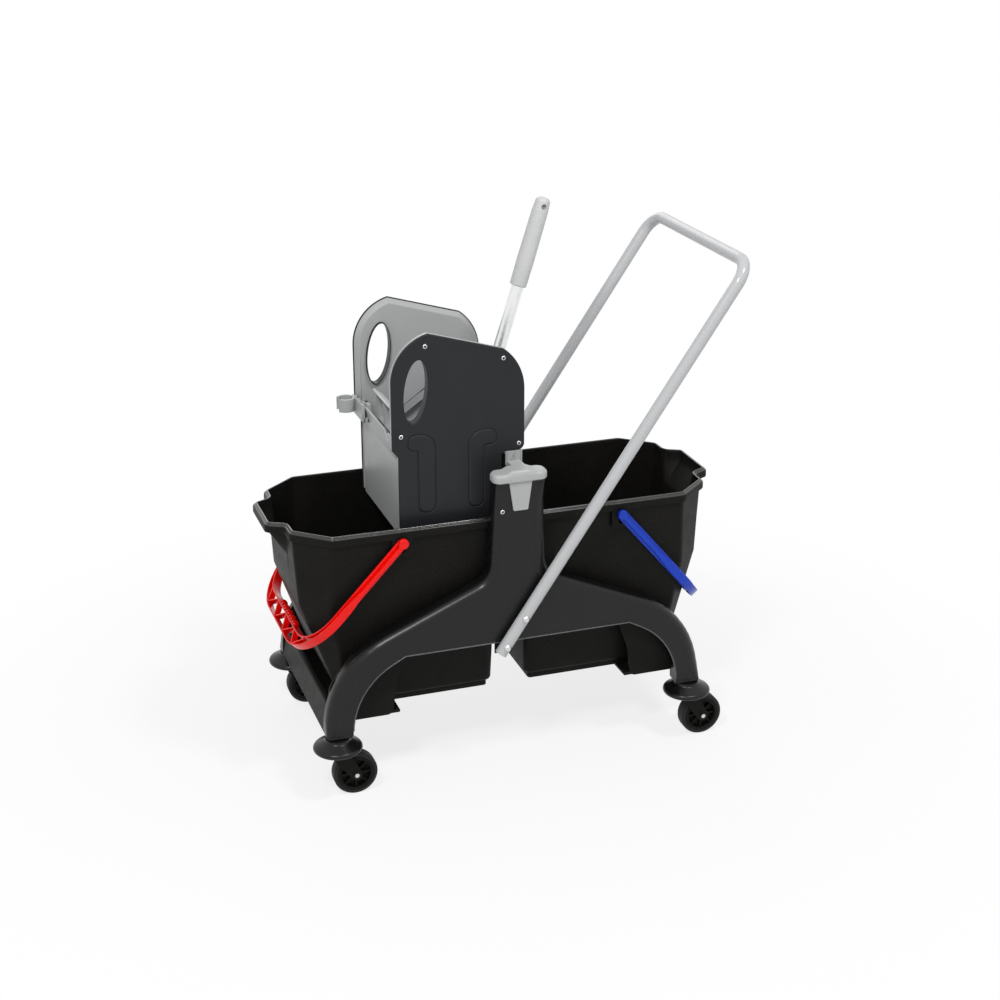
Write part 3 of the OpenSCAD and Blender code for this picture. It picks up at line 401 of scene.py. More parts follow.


# Side frames: a hollow moulding with a round bead along the arms and a fine lip along the arches, coloured
# light grey as a painted highlight
def sideFrame(side):
    look = {
        "half": [(211, 255, 4), (308, 203, 138), (308, 112, 7), (356, 112, 7), (356, 246, 185),
                 (54, 377, 40), (45, 556, 8)],
        "cornerSteps": 10, "longest": 6, "passes": 14,
        "outer": 192, "inner": 162, "wall": 4, "backEdge": 1,
        "armZ": (128, 535), "outward": 8, "upward": 0.6, "armRound": 19, "edgeRound": 1.8,
        "roundSteps": 6, "ringGap": 0.02,
        "flatShare": 1.02, "beadFlat": 4, "fullFlat": 4, "beadStep": 1.1, "stepWidth": 1.6,
        "hollowLift": 0.45, "hollowIn": 0.9,
        "ribs": [-250, -170, -90, 0, 90, 170, 250], "rib": 3, "ribStep": 0.1, "ribTop": 452, "ribSink": 1,
        "ribSoft": 0.4,
        "shelf": [(-42, 154.5, 452), (42, 164, 462)], "lug": [(-47, 188, 234), (-13, 192, 260)],
        "blockSoft": 1.2,
        "casterX": 335, "casterY": 180, "boss": 11.5, "bossTop": 154, "bossSink": 0.5,
        "lip": 1.3, "lipX": 309, "lipZ": (125, 258), "lipFacing": -0.1,
    }
    outer, inner, wall = look["outer"], look["inner"], look["wall"]
    outline = roundedOutline(withMirror(look["half"], "x"), look["cornerSteps"])
    fine = []
    for i, here in enumerate(outline):
        ahead = outline[(i + 1) % len(outline)]
        parts = max(1, math.ceil((ahead - here).length / look["longest"]))
        fine += [here.lerp(ahead, k / parts) for k in range(parts)]
    count = len(fine)
    normals = [(p - q).normalized() for p, q in zip(fine, inset(fine, 1))]

    # the arms' tops and outer sides are round, the arches and the legs' inner sides have a fine edge
    def roundAt(point, normal):
        onArm = look["armZ"][0] < point.y < look["armZ"][1]
        facesOut = normal.x * point.x > look["outward"] or normal.y > look["upward"]
        return look["armRound"] if onArm and facesOut else look["edgeRound"]

    # one fades into the other
    rounds = [roundAt(p, n) for p, n in zip(fine, normals)]
    for _ in range(look["passes"]):
        rounds = [(rounds[i - 1] + rounds[i] + rounds[(i + 1) % count]) / 3 for i in range(count)]

    def section(depth, lift):
        lifts = lift if isinstance(lift, list) else [lift] * count
        return [Vector((p.x, side * (outer - up), p.y)) for p, up in zip(inset(fine, depth), lifts)]

    flat = [r * look["flatShare"] + look["beadFlat"] * min(1, r / look["fullFlat"]) for r in rounds]
    rings = [section([f + look["stepWidth"] for f in flat], look["beadStep"]), section(flat, 0)]
    for k, turn in reversed(list(enumerate(quarterTurn(look["roundSteps"])))):
        rings.append(section([r * (1 - math.cos(turn)) + look["ringGap"] * k for r in rounds],
                             [r * (1 - math.sin(turn)) for r in rounds]))
    depth, edge = outer - inner, look["backEdge"]
    rings += [section(0, depth - edge), section(edge, depth), section(wall, depth)]
    # behind the bead the hollow slopes, so that the wall stays under the round
    floor = wall + look["beadStep"]
    rings.append(section(wall, [floor + look["hollowLift"] * r for r in rounds]))
    rings.append(section([wall + look["hollowIn"] * r for r in rounds], floor))
    bm = bmesh.new()
    loft(bm, rings)

    hollow = inset(fine, wall)
    for x in look["ribs"]:
        heights = sorted(a.y + (b.y - a.y) * (x - a.x) / (b.x - a.x)
                         for a, b in zip(hollow, hollow[1:] + hollow[:1]) if (a.x - x) * (b.x - x) < 0)
        low = heights[0] - look["ribSink"]
        high = min(heights[-1] + look["ribSink"], look["ribTop"])
        # a full-width rib that stops below the bead, and a narrower one up to the arm's top
        for back, top, half in ((wall, high - look["armRound"], look["rib"] / 2),
                                (look["armRound"], high, look["rib"] / 2 - look["ribStep"])):
            addBox(bm, (x - half, side * (outer - back), low),
                   (x + half, side * (inner + edge), top), look["ribSoft"])
    foot = min(p.y for p in fine) + look["bossSink"]
    for x in (-look["casterX"], look["casterX"]):
        y = side * look["casterY"]
        addRod(bm, (x, y, foot), (x, y, look["bossTop"]), look["boss"], look["ribSoft"])
    for (x0, y0, z0), (x1, y1, z1) in (look["shelf"], look["lug"]):
        addBox(bm, (x0, side * y0, z0), (x1, side * y1, z1), look["blockSoft"])
    name = "side_frame_" + sideName(side)
    makePiece(name + "_moulding", bm, "carrier", slate, [name])

    low, high = look["lipZ"]
    under = [p for p, n in zip(fine, normals) if abs(p.x) < look["lipX"] and low < p.y < high
             and (n.y < look["lipFacing"] or n.x * p.x < 0)]
    split = next(i for i in range(1, len(under)) if under[i].x < under[i - 1].x - look["lipX"])
    lipY = side * (outer - look["edgeRound"] / 2)
    addHighlightLip(name + "_highlight_lip", under[split:] + under[:split], lipY, look["lip"])


# A fine rolled lip along a run of outline points, in a light grey that paints the highlight along the arch
def addHighlightLip(name, run, y, radius, sides=10):
    bm = bmesh.new()
    rings = []
    for i, here in enumerate(run):
        ahead = (run[min(i + 1, len(run) - 1)] - run[max(i - 1, 0)]).normalized()
        middle, out, across = Vector((here.x, y, here.y)), Vector((-ahead.y, 0, ahead.x)), Vector((0, 1, 0))
        rings.append([middle + (out * math.cos(a) + across * math.sin(a)) * radius for a in fullTurn(sides)])
    loft(bm, rings)
    makePiece(name, bm, "carrier", highlightLipSlate)


for side in (-1, 1):
    sideFrame(side)
print("side frames done")


# Tower caps: a pillow with a raised seat, and a tongue down the front of the tower
def towerCap(side):
    look = {
        "foot": 556, "flatTop": 572, "corner": 15, "topRound": 7, "footRound": 3, "fold": 60,
        "seat": (-28, -15, 13, 30), "cuts": 30, "reach": 34,
        "tongue": [(-13.5, 503, 3), (13, 503, 3), (21, 560, 0.5), (-22, 560, 0.5)],
        "tongueFace": 195, "towerFace": 192, "tongueRound": 0.9,
    }
    name = "tower_cap_" + sideName(side)
    low, high = boxMm(name)
    half = (high.x - low.x) / 2
    foot, flatTop = look["foot"], look["flatTop"]
    bm = bmesh.new()
    addBox(bm, (-half, low.y, foot), (half, high.y, flatTop), soft=0)

    def rimEdges(z):
        return [e for e in sharpEdges(bm.faces, look["fold"])
                if all(abs(v.co.z - z) < mergeDist for v in e.verts)]

    corners = [e for e in bm.edges if abs(e.verts[0].co.z - e.verts[1].co.z) > mergeDist]
    softenEdges(bm, corners, look["corner"], segments=8)
    softenEdges(bm, rimEdges(flatTop), look["topRound"], segments=6)
    softenEdges(bm, rimEdges(foot), look["footRound"], segments=3)
    for k in range(look["cuts"] + 1):
        x = look["reach"] * (2 * k / look["cuts"] - 1)
        everything = bm.verts[:] + bm.edges[:] + bm.faces[:]
        bmesh.ops.bisect_plane(bm, geom=everything, plane_co=(x, 0, 0), plane_no=(1, 0, 0))
    leftFoot, leftTop, rightTop, rightFoot = look["seat"]
    rise = high.z - flatTop
    for vert in bm.verts:
        along = min(shareOf(vert.co.x, leftFoot, leftTop), shareOf(vert.co.x, rightFoot, rightTop))
        vert.co.z += rise * eased(along) * shareOf(vert.co.z, (foot + flatTop) / 2, flatTop)
    tongue = roundedOutline(look["tongue"], steps=5)
    rings = edgeRings(tongue, look["tongueFace"], side, look["tongueRound"])
    loft(bm, rings[::-1] + [upright(tongue, side * look["towerFace"])])
    makePiece(name + "_pillow", bm, "carrier", lightGrey, [name])


for side in (-1, 1):
    towerCap(side)
print("tower caps done")


# Push bar: one bent tube with open feet
def pushBar():
    look = {"radius": 11, "wall": 1.5, "y": 203.1, "length": 805, "bend": 40, "angle": 56,
            "foot": (-40, 0, 238), "sides": 40, "bendSteps": 14}
    straight = look["length"] - look["bend"]
    side = look["y"] - look["bend"]
    bm = bmesh.new()
    start = Matrix.Translation((0, -look["y"], 0)) @ Matrix.Rotation(math.pi / 2, 4, "Y")
    bmesh.ops.create_circle(bm, segments=look["sides"], radius=look["radius"], matrix=start)

    def run(edges, way):
        made = bmesh.ops.extrude_edge_only(bm, edges=edges)["geom"]
        tips = {g for g in made if isinstance(g, bmesh.types.BMVert)}
        bmesh.ops.translate(bm, vec=way, verts=list(tips))
        return [g for g in made if isinstance(g, bmesh.types.BMEdge) and tips.issuperset(g.verts)]

    def turn(edges, centre):
        made = bmesh.ops.spin(bm, geom=edges, cent=centre, axis=(0, 0, 1), angle=math.pi / 2,
                              steps=look["bendSteps"], use_merge=False, use_duplicate=False)["geom_last"]
        return [g for g in made if isinstance(g, bmesh.types.BMEdge)]

    ring = run(bm.edges[:], (straight, 0, 0))
    ring = turn(ring, (straight, -side, 0))
    ring = run(ring, (0, 2 * side, 0))
    ring = turn(ring, (straight, side, 0))
    run(ring, (-straight, 0, 0))
    bmesh.ops.remove_doubles(bm, verts=bm.verts, dist=mergeDist)
    bmesh.ops.recalc_face_normals(bm, faces=bm.faces)
    bmesh.ops.solidify(bm, geom=bm.faces[:], thickness=look["wall"])
    place = Matrix.Translation(look["foot"]) @ Matrix.Rotation(-math.radians(look["angle"]), 4, "Y")
    bmesh.ops.transform(bm, matrix=place, verts=bm.verts)
    makePiece("push_bar_tube", bm, "carrier", paint, ["push_bar"])


pushBar()
print("push bar done")


# Buckets: walls lofted through levels, with a pouring lip that fades into the end wall
def bucket(end):
    look = {
        "rim": [(14, -159, 25), (327, -159, 20), (389, -105, 16), (390, -69, 11), (420, -54, 13)],
        "top": [(20, -153, 20), (325, -153, 16), (384, -100, 12), (384.5, -64, 6), (414, -49, 9)],
        "spoutFoot": [(22.3, -150.3, 19), (327, -150.3, 16), (381, -100.5, 12), (381.5, -52, 6),
                      (382.5, -42, 9)],
        "waist": [(27, -146, 18), (330, -146, 16), (377, -102, 12), (377, -52, 6), (377, -42, 9)],
        "base": [(32, -133, 14), (300, -133, 8), (312, -121, 8), (312, -52, 6), (312, -42, 9)],
        "levels": {"base": 150, "waist": 340, "spoutFoot": 414, "top": 462},
        "rings": {"base": 4, "waist": 2, "spoutFoot": 6}, "cornerSteps": 6, "fill": 5,
        "wall": 3, "roundSteps": 4, "baseRound": 7, "baseLean": 0.03, "floorRound": 10, "floorLean": 0.06,
        "foot": 138, "footIn": 8, "footWide": 5, "footEdge": 1, "rimTop": 480,
        "rimSection": [(1.6, -17.8), (0.4, -17.2), (0, -15.6), (0.2, -7), (0.7, -5), (1.7, -3.8), (3, -3.4),
                       (4, -3.3), (4.5, -2.8), (4.9, -1.4), (5.6, -0.4), (6.4, 0), (7.6, 0), (8.5, -0.6),
                       (8.9, -2), (9, -5)],
        "ear": [(185, 430, 6), (221, 430, 6), (221, 463, 1), (185, 463, 1)], "earFace": 159,
        "earBack": 150.7, "earEdge": 0.9, "slot": (203, 441.5, 456, 4.2), "slotFloor": 151,
    }
    shapes = {name: roundedOutline(withMirror(look[name], "y"), look["cornerSteps"], look["fill"])
              for name in ("rim", "top", "spoutFoot", "waist", "base")}
    base, wall, z = shapes["base"], look["wall"], look["levels"]

    def between(a, b, share, depth):
        mixed = [p.lerp(q, share) for p, q in zip(shapes[a], shapes[b])]
        return level(inset(mixed, depth), z[a] + (z[b] - z[a]) * share)

    def walls(depth):
        stages = list(z)
        rings = []
        for a, b in zip(stages, stages[1:]):
            parts = look["rings"][a]
            rings += [between(a, b, (k + 1) / parts, depth) for k in range(parts)]
        return rings

    # the turn from the floor up into a wall, which leans a little with it
    def footTurn(depth, height, bend, lean):
        rings = []
        for turn in quarterTurn(look["roundSteps"]):
            up = 1 - math.cos(turn)
            leaned = [p.lerp(q, lean * up) for p, q in zip(base, shapes["waist"])]
            rings.append(level(inset(leaned, depth + bend * (1 - math.sin(turn))), height + bend * up))
        return rings

    foot, edge, footOut = look["foot"], look["footEdge"], look["footIn"]
    footIn = footOut + look["footWide"]
    footSection = [(footIn, z["base"] + edge), (footIn, foot + edge), (footIn - edge, foot),
                   (footOut + edge, foot), (footOut, foot + edge), (footOut, z["base"])]
    rings = [level(inset(base, depth), height) for depth, height in footSection]
    rings += footTurn(0, z["base"], look["baseRound"], look["baseLean"]) + walls(0)
    rings += [level(inset(shapes["rim"], depth), look["rimTop"] + height)
              for depth, height in look["rimSection"]]
    rings += walls(wall)[::-1]
    rings += footTurn(wall, z["base"] + wall, look["floorRound"], look["floorLean"])[::-1]
    bm = bmesh.new()
    loft(bm, rings)
    for side in (-1, 1):
        addEar(bm, side, look)
    if end < 0:
        bmesh.ops.scale(bm, vec=(-1, 1, 1), verts=bm.verts)
    name = "bucket_" + endName(end)
    makePiece(name + "_shell", bm, name, black, [name], sharp=40)


# The ear that carries a bail, with the blind slot in which its pin rides
def addEar(bm, side, look):
    ear = roundedOutline(look["ear"], steps=5)
    x, low, high, radius = look["slot"]
    left, right, bottom, top = x - radius, x + radius, low - radius, high + radius
    slot = roundedOutline([(left, bottom, radius), (right, bottom, radius),
                           (right, top, radius), (left, top, radius)], steps=6)
    face, edge = look["earFace"], look["earEdge"]
    earRings = [upright(ear, side * look["earBack"])] + edgeRings(ear, face, side, edge)
    slotRings = [upright(slot, side * look["slotFloor"])] + edgeRings(slot, face, side, edge, -1)
    _, border = loft(bm, earRings, capLast=False)
    _, mouth = loft(bm, slotRings, capLast=False)
    fillBetween(bm, [border, mouth])


for end in (-1, 1):
    bucket(end)
print("buckets done")


# Bails: a strap inside and a flange outside, joined by a web along the arms and by rungs along the grip
def bail(end, finish, drop):
    look = {
        "pivot": (203, 456), "far": 274, "near": 247, "outer": 170, "inner": 160, "outerBend": 100,
        "innerBend": 70, "pathSteps": 24, "strap": 3, "strapHalf": 9.35, "flange": 2.6, "armHalf": 3.6,
        "gripHalf": 8, "grow": (98, 158), "edge": 0.8, "web": 1.25, "webEnd": 180, "webSoft": 0.3,
        "endBoss": 9.35, "bossFace": 169.5, "endRound": 2.6, "pin": 4, "pinEnd": 151.5, "pinSoft": 0.5,
        "rungs": 8, "rungPitch": 31.5, "rung": 3.2, "rungHalf": 6, "rungSoft": 0.6,
        "beads": 5, "bead": 9, "beadPitch": 23, "beadSink": 2, "beadSides": (32, 18),
    }
    near, far, inner, outer = look["near"], look["far"], look["inner"], look["outer"]
    strap, flange = look["strap"], look["flange"]
    bm = bmesh.new()

    def strapHalf(u):
        return look["strapHalf"]

    def flangeHalf(u):
        return look["armHalf"] + (look["gripHalf"] - look["armHalf"]) * eased(shareOf(u, *look["grow"]))

    def railPath(tip, y, radius):
        corners = [(0, -y, 0), (tip, -y, radius), (tip, y, radius), (0, y, 0)]
        return roundedOutline(corners, look["pathSteps"], look["pathSteps"], closed=False)

    def addRail(path, half, width):
        rings = []
        for i, here in enumerate(path):
            ahead = (path[min(i + 1, len(path) - 1)] - path[max(i - 1, 0)]).normalized()
            across = here + Vector((-ahead.y, ahead.x)) * width
            high = half(here.x)
            rings.append([Vector((*here, -high)), Vector((*here, high)),
                          Vector((*across, high)), Vector((*across, -high))])
        older = set(bm.verts)
        loft(bm, rings)
        fresh = [v for v in bm.verts if v not in older]
        softenEdges(bm, sharpEdges(fresh, angle=50), look["edge"], segments=3)

    # how far out a rail lies at a place across the grip
    def reach(y, tip, half, radius):
        over = max(0, abs(y) - half + radius)
        return tip - radius + math.sqrt(radius * radius - over * over)

    addRail(railPath(far, outer, look["outerBend"]), flangeHalf, flange)
    addRail(railPath(near, inner, look["innerBend"]), strapHalf, -strap)
    for side in (-1, 1):
        addBox(bm, (0, side * (inner + strap / 2), -look["web"]),
               (look["webEnd"], side * (outer - flange / 2), look["web"]), look["webSoft"])
        addRod(bm, (0, side * look["bossFace"], 0), (0, side * inner, 0), look["endBoss"], look["endRound"])
        addRod(bm, (0, side * inner, 0), (0, side * look["pinEnd"], 0), look["pin"], look["pinSoft"])
    for k in range(look["rungs"]):
        y0, y1 = [(k - look["rungs"] / 2 + step) * look["rungPitch"] for step in (k % 2, 1 - k % 2)]
        a = Vector((reach(y0, near, inner, look["innerBend"]) + strap / 2, y0, 0))
        b = Vector((reach(y1, far, outer, look["outerBend"]) - flange / 2, y1, 0))
        turn = Matrix.Rotation(math.atan2(b.y - a.y, b.x - a.x), 4, "Z")
        size = Matrix.Diagonal(((b - a).length, look["rung"], 2 * look["rungHalf"], 1))
        place = Matrix.Translation((a + b) / 2) @ turn @ size
        verts = bmesh.ops.create_cube(bm, size=1, matrix=place)["verts"]
        softenEdges(bm, sharpEdges(verts, angle=30), look["rungSoft"], segments=2)
    around, down = look["beadSides"]
    for k in range(look["beads"]):
        y = (k - (look["beads"] - 1) / 2) * look["beadPitch"]
        place = Matrix.Translation((near + look["beadSink"], y, 0))
        made = bmesh.ops.create_uvsphere(bm, u_segments=around, v_segments=down, radius=look["bead"],
                                         matrix=place)
        # the ball is cut flat inside the strap
        ball = list(dict.fromkeys(g for v in made["verts"] for g in (v, *v.link_edges, *v.link_faces)))
        cut = bmesh.ops.bisect_plane(bm, geom=ball, plane_co=(near + strap / 2, 0, 0), plane_no=(1, 0, 0),
                                     clear_outer=True)["geom_cut"]
        bmesh.ops.edgeloop_fill(bm, edges=[g for g in cut if isinstance(g, bmesh.types.BMEdge)])
    pivotX, pivotZ = look["pivot"]
    place = Matrix.Translation((pivotX, 0, pivotZ)) @ Matrix.Rotation(math.radians(drop), 4, "Y")
    bmesh.ops.transform(bm, matrix=place, verts=bm.verts)
    if end < 0:
        bmesh.ops.scale(bm, vec=(-1, 1, 1), verts=bm.verts)
    name = "bail_" + endName(end)
    makePiece(name + "_moulding", bm, name, finish, [name], sharp=45)


bail(-1, red, drop=46.5)
bail(1, blue, drop=49.5)
print("bails done")


# Return spring: a leg up from the bracket, the turns round the shaft and a short end
def returnSpring():
    look = {"radius": 10.445, "wire": 1.25, "turns": 5, "pitch": 3.4, "y": 26, "leg": 54.2, "end": 2.5,
            "stepsPerTurn": 24, "sides": 12}
    x, z = lever["shaft"]
    legX, y, steps = x + look["radius"], look["y"], look["stepsPerTurn"]
    path = [Vector((legX, y, z - look["leg"])), Vector((legX, y, z - look["end"]))]
    outs = [Vector((1, 0, 0))] * 2
    for k in range(look["turns"] * steps + 1):
        turn = 2 * math.pi * k / steps
        outs.append(Vector((math.cos(turn), 0, math.sin(turn))))
        path.append(Vector((x, y + look["pitch"] * k / steps, z)) + outs[-1] * look["radius"])
    path.append(path[-1] + Vector((0, 0, look["end"])))
    outs.append(outs[-1])
    across, angles = Vector((0, 1, 0)), fullTurn(look["sides"])
    bm = bmesh.new()
    loft(bm, [[here + (out * math.cos(a) + across * math.sin(a)) * look["wire"] for a in angles]
              for here, out in zip(path, outs)])
    makePiece("return_spring_wire", bm, "wringer", steel, ["return_spring"], sharp=60)


returnSpring()
print("spring done")

# Side panels and liners share one outline: two crown arcs joined by a straight top, over a narrower box
panel = {
    "box": [(-198, 450, 4), (-34, 450, 4), (-34, 486, 8), (-12, 497, 8), (-12, 588, 7), (30, 588, 12)],
    "rearCrown": ((-62, 700), 92, 0, 54), "frontCrown": ((-121.8, 729), 87.2, 104, 180),
    "shoulder": [(-209, 612, 7), (-198, 599, 7)], "crownSteps": 18, "cornerSteps": 6,
}


def crownArc(centre, radius, start, end):
    steps = panel["crownSteps"]
    angles = [math.radians(start + (end - start) * k / steps) for k in range(steps + 1)]
    return [(centre[0] + radius * math.cos(a), centre[1] + radius * math.sin(a), 0) for a in angles]


panelOutline = roundedOutline(
    panel["box"] + crownArc(*panel["rearCrown"]) + crownArc(*panel["frontCrown"]) + panel["shoulder"],
    panel["cornerSteps"])


# The oval hand hole; spare makes it wider and higher
def handHole(spare):
    look = {"centre": Vector((-165, 713)), "wide": 41, "high": 112, "tilt": 7, "steps": 64}
    turn = Matrix.Rotation(math.radians(-look["tilt"]), 2)
    wide, high = (look["wide"] + spare) / 2, (look["high"] + spare) / 2
    return [look["centre"] + turn @ Vector((wide * math.cos(a), high * math.sin(a)))
            for a in fullTurn(look["steps"])]


# The dark outer panel: a rounded edge, a collar through the hand hole and two raised hook pads in a groove
def sidePanel(side):
    look = {
        "face": 127, "back": 123, "edge": 2.2, "roundSteps": 5, "holeRound": 2.5,
        "collarWall": 3, "collarEnd": 113.4, "collarTip": 107, "tipRound": 0.8,
        "pads": [[(-163, 493, 13), (-132, 493, 13), (-132, 636, 26), (-181, 636, 14), (-181, 608, 12),
                  (-163, 608, 3)],
                 [(-72, 493, 12), (-44.5, 493, 12), (-44.5, 605, 3), (-21.6, 605, 12), (-21.6, 633, 13),
                  (-72, 633, 26)]],
        "padSection": [(-1.6, 0), (-1, -0.5), (-0.4, -0.8), (0.2, -0.6), (0.6, 0.3), (1.4, 1), (2.4, 1.3),
                       (3.6, 1.4)],
    }
    name = sideName(side)
    face, back, edge, bend = look["face"], side * look["back"], look["edge"], look["holeRound"]
    quarter = quarterTurn(look["roundSteps"])
    rim = [upright(inset(panelOutline, edge * (1 - math.cos(a))), side * (face - edge * (1 - math.sin(a))))
           for a in quarter]
    lip = [upright(handHole(2 * bend * (1 - math.cos(a))), side * (face - bend * (1 - math.sin(a))))
           for a in reversed(quarter)]
    hole, outside = handHole(0), handHole(look["collarWall"])
    start, tip = side * look["collarEnd"], side * look["collarTip"]
    collar = [upright(hole, start), upright(outside, start), upright(outside, back)]
    bm = bmesh.new()
    behind, front = openLoft(bm, [upright(panelOutline, back)] + rim)
    mouth, collarFoot = openLoft(bm, lip + collar)
    padFeet = []
    for corners in look["pads"]:
        pad = roundedOutline(corners)
        rings = [upright(inset(pad, depth), side * (face + height)) for depth, height in look["padSection"]]
        padFoot, _ = loft(bm, rings, capFirst=False)
        padFeet.append(padFoot)
    fillBetween(bm, [front, mouth] + padFeet)
    fillBetween(bm, [behind, collarFoot])
    makePiece("side_panel_" + name + "_moulding", bm, "wringer", panelSlate, ["side_panel_" + name])

    # the collar's rolled inner end
    bm = bmesh.new()
    turn = tip + side * look["tipRound"]
    middle = handHole(look["collarWall"] / 2)
    openLoft(bm, [upright(outside, start), upright(outside, turn), upright(middle, tip),
                  upright(hole, turn), upright(hole, start), upright(outside, start)])
    bmesh.ops.remove_doubles(bm, verts=bm.verts, dist=mergeDist)
    makePiece("hand_grip_" + name, bm, "wringer", panelSlate)


# The grey liner: a plate whose border turns back to the panel, at a slope on the far side
def liner(side):
    look = {"back": 123, "inner": 113, "holeSpare": 4,
            "near": [(0.4, 123), (0.4, 122), (0.4, 115.5), (1.2, 114), (2.6, 113.2), (4, 113)],
            "far": [(2, 123), (2, 122), (2.5, 121.4), (8.4, 114), (9.6, 113.2), (11, 113)]}
    name = sideName(side)
    bm = bmesh.new()
    border = [upright(inset(panelOutline, depth), side * y) for depth, y in look[name]]
    behind, front = openLoft(bm, border)
    hole = [upright(handHole(look["holeSpare"]), side * y) for y in (look["inner"], look["back"])]
    mouth, rear = openLoft(bm, hole)
    fillBetween(bm, [front, mouth])
    fillBetween(bm, [behind, rear])
    makePiece("liner_" + name + "_moulding", bm, "wringer", midGrey, ["liner_" + name])


for side in (-1, 1):
    sidePanel(side)
    liner(side)
print("panels and liners done")


# Hanger bracket: a plate under the panels' shoulders, and a ribbed wall at each end that hooks behind the cap
def hangerBracket():
    look = {"x": (-4.7, 26), "half": 127, "plate": (582, 588), "tongue": (-30, 96), "wall": 3, "low": 562,
            "rib": 1.6, "ribWide": 2, "ribSoft": 0.4, "sink": 1, "hook": (-2, 22, 154, 570)}
    x0, x1 = look["x"]
    low, high = look["plate"]
    half, foot, sink, ribWide = look["half"], look["low"], look["sink"], look["ribWide"]
    middle = (x0 + x1) / 2
    back, reach = look["tongue"]
    hookLeft, hookRight, hookEnd, hookTop = look["hook"]
    bm = bmesh.new()
    addBox(bm, (x0, -half, low), (x1, half, high))
    addBox(bm, (back, -reach, low), (x0 + sink, reach, high))
    for side in (-1, 1):
        near, far = side * (half - sink), side * (half + look["rib"])
        addBox(bm, (x0, side * (half - look["wall"]), foot), (x1, side * half, low + sink))
        for x in (x0 + sink, middle, x1 - sink - ribWide):
            addBox(bm, (x, near, foot), (x + ribWide, far, high), look["ribSoft"])
        # a brace across the first bay
        start, end = Vector((x0 + ribWide, near, foot + ribWide)), Vector((middle, far, high - ribWide))
        run, rise = end.x - start.x, end.z - start.z
        lean = Matrix.Rotation(-math.atan2(rise, run), 4, "Y")
        size = Matrix.Diagonal((math.hypot(run, rise), abs(far - near), ribWide, 1))
        bmesh.ops.create_cube(bm, size=1, matrix=Matrix.Translation((start + end) / 2) @ lean @ size)
        addBox(bm, (hookLeft, near, foot), (hookRight, side * hookEnd, hookTop))
    makePiece("hanger_bracket_ribbed", bm, "wringer", lightGrey, ["hanger_bracket"])


hangerBracket()


# Press jaw: a plate with deep cells towards the mop, a hinge knuckle and a sloped top flange
def pressJaw():
    look = {"hinge": (-154.8, 475.8), "lean": 3.4, "half": 96, "length": 165, "plate": 2, "plateSoft": 0.4,
            "foot": 6.5, "depth": 12, "ribs": 5, "rib": 3.2, "ribFoot": 2, "ribGap": 1, "ribSoft": 0.5,
            "rails": (40, 80, 120), "rail": 3, "railBack": 0.4, "railGap": 0.5,
            "knuckle": 9, "bore": 4.3, "sides": 32,
            "flange": [(-2, 161, 0), (2, 165, 0.5), (-14, 179, 1), (-17, 176, 1)]}
    half, plate, depth, length = look["half"], look["plate"], look["depth"], look["length"]
    foot, knuckle, bore, soft = look["foot"], look["knuckle"], look["bore"], look["ribSoft"]
    bm = bmesh.new()
    tube = [(knuckle, -half), (knuckle, half), (bore, half), (bore, -half), (knuckle, -half)]
    openLoft(bm, [ringRoundY(0, y, 0, radius, look["sides"]) for radius, y in tube])
    bmesh.ops.remove_doubles(bm, verts=bm.verts, dist=mergeDist)
    addBox(bm, (-plate, -half, foot), (plate, half, length), look["plateSoft"])
    ribHalf, ribLow, ribHigh = look["rib"] / 2, foot + look["ribFoot"], length - look["ribGap"]
    for k in range(look["ribs"]):
        y = (half - ribHalf) * (2 * k / (look["ribs"] - 1) - 1)
        addBox(bm, (-depth, y - ribHalf, ribLow), (0, y + ribHalf, ribHigh), soft)
    railX, railHalf = look["railBack"] - depth, half - look["railGap"]
    for z in look["rails"]:
        addBox(bm, (railX, -railHalf, z), (0, railHalf, z + look["rail"]), soft)
    flange = roundedOutline(look["flange"], steps=3)
    loft(bm, [upright(flange, -half), upright(flange, half)])
    hingeX, hingeZ = look["hinge"]
    place = Matrix.Translation((hingeX, 0, hingeZ)) @ Matrix.Rotation(-math.radians(look["lean"]), 4, "Y")
    bmesh.ops.transform(bm, matrix=place, verts=bm.verts)
    # the jaw's lighter grey is painted light
    makePiece("press_jaw_ribbed", bm, "jaw", jawLitGrey, ["press_jaw"])


pressJaw()


# Clip holder: a plate and a slotted block on the front wall's lip that carry the mop clip
def clipHolder():
    look = {"plate": [(-213.5, 54, 606), (-209.5, 123, 637)], "block": [(-210, 54, 604), (-196, 78, 637)],
            "slotX": (-207.5, -203), "slotEnd": 70, "slotLow": 612}
    bm = bmesh.new()
    addBox(bm, *look["plate"])
    (x0, y0, z0), (x1, y1, z1) = look["block"]
    slotLeft, slotRight = look["slotX"]
    addBox(bm, (x0, y0, z0), (slotLeft, y1, z1))
    addBox(bm, (slotRight, y0, z0), (x1, y1, z1))
    addBox(bm, (x0, y0, z0), (x1, y1, look["slotLow"]))
    addBox(bm, (x0, look["slotEnd"], z0), (x1, y1, z1))
    makePiece("mop_clip_holder", bm, "wringer", midGrey)


clipHolder()
print("bracket, jaw and clip holder done")


# Fine rings moulded round the lever grip: the place of each along the grip, and the grip's radius there
def gripRings():
    look = {"start": 213, "rings": {31: 15.3, 35: 15.35, 39: 15.4, 112: 14.78, 116: 14.73, 120: 14.69},
            "section": [(-0.6, -0.3), (-0.5, 0.1), (0, 0.35), (0.5, 0.1), (0.6, -0.3)], "sides": 48}
    bm = bmesh.new()

    def ring(radius, z):
        return [Vector((radius * math.cos(a), radius * math.sin(a), z)) for a in fullTurn(look["sides"])]

    for along, radius in look["rings"].items():
        loft(bm, [ring(radius + out, look["start"] + along + step) for step, out in look["section"]])
    shaftX, shaftZ = lever["shaft"]
    place = Matrix.Translation((shaftX, 0, shaftZ)) @ Matrix.Rotation(math.radians(lever["lean"]), 4, "Y")
    bmesh.ops.transform(bm, matrix=place, verts=bm.verts)
    makePiece("lever_grip_rings", bm, "lever", gripGrey)
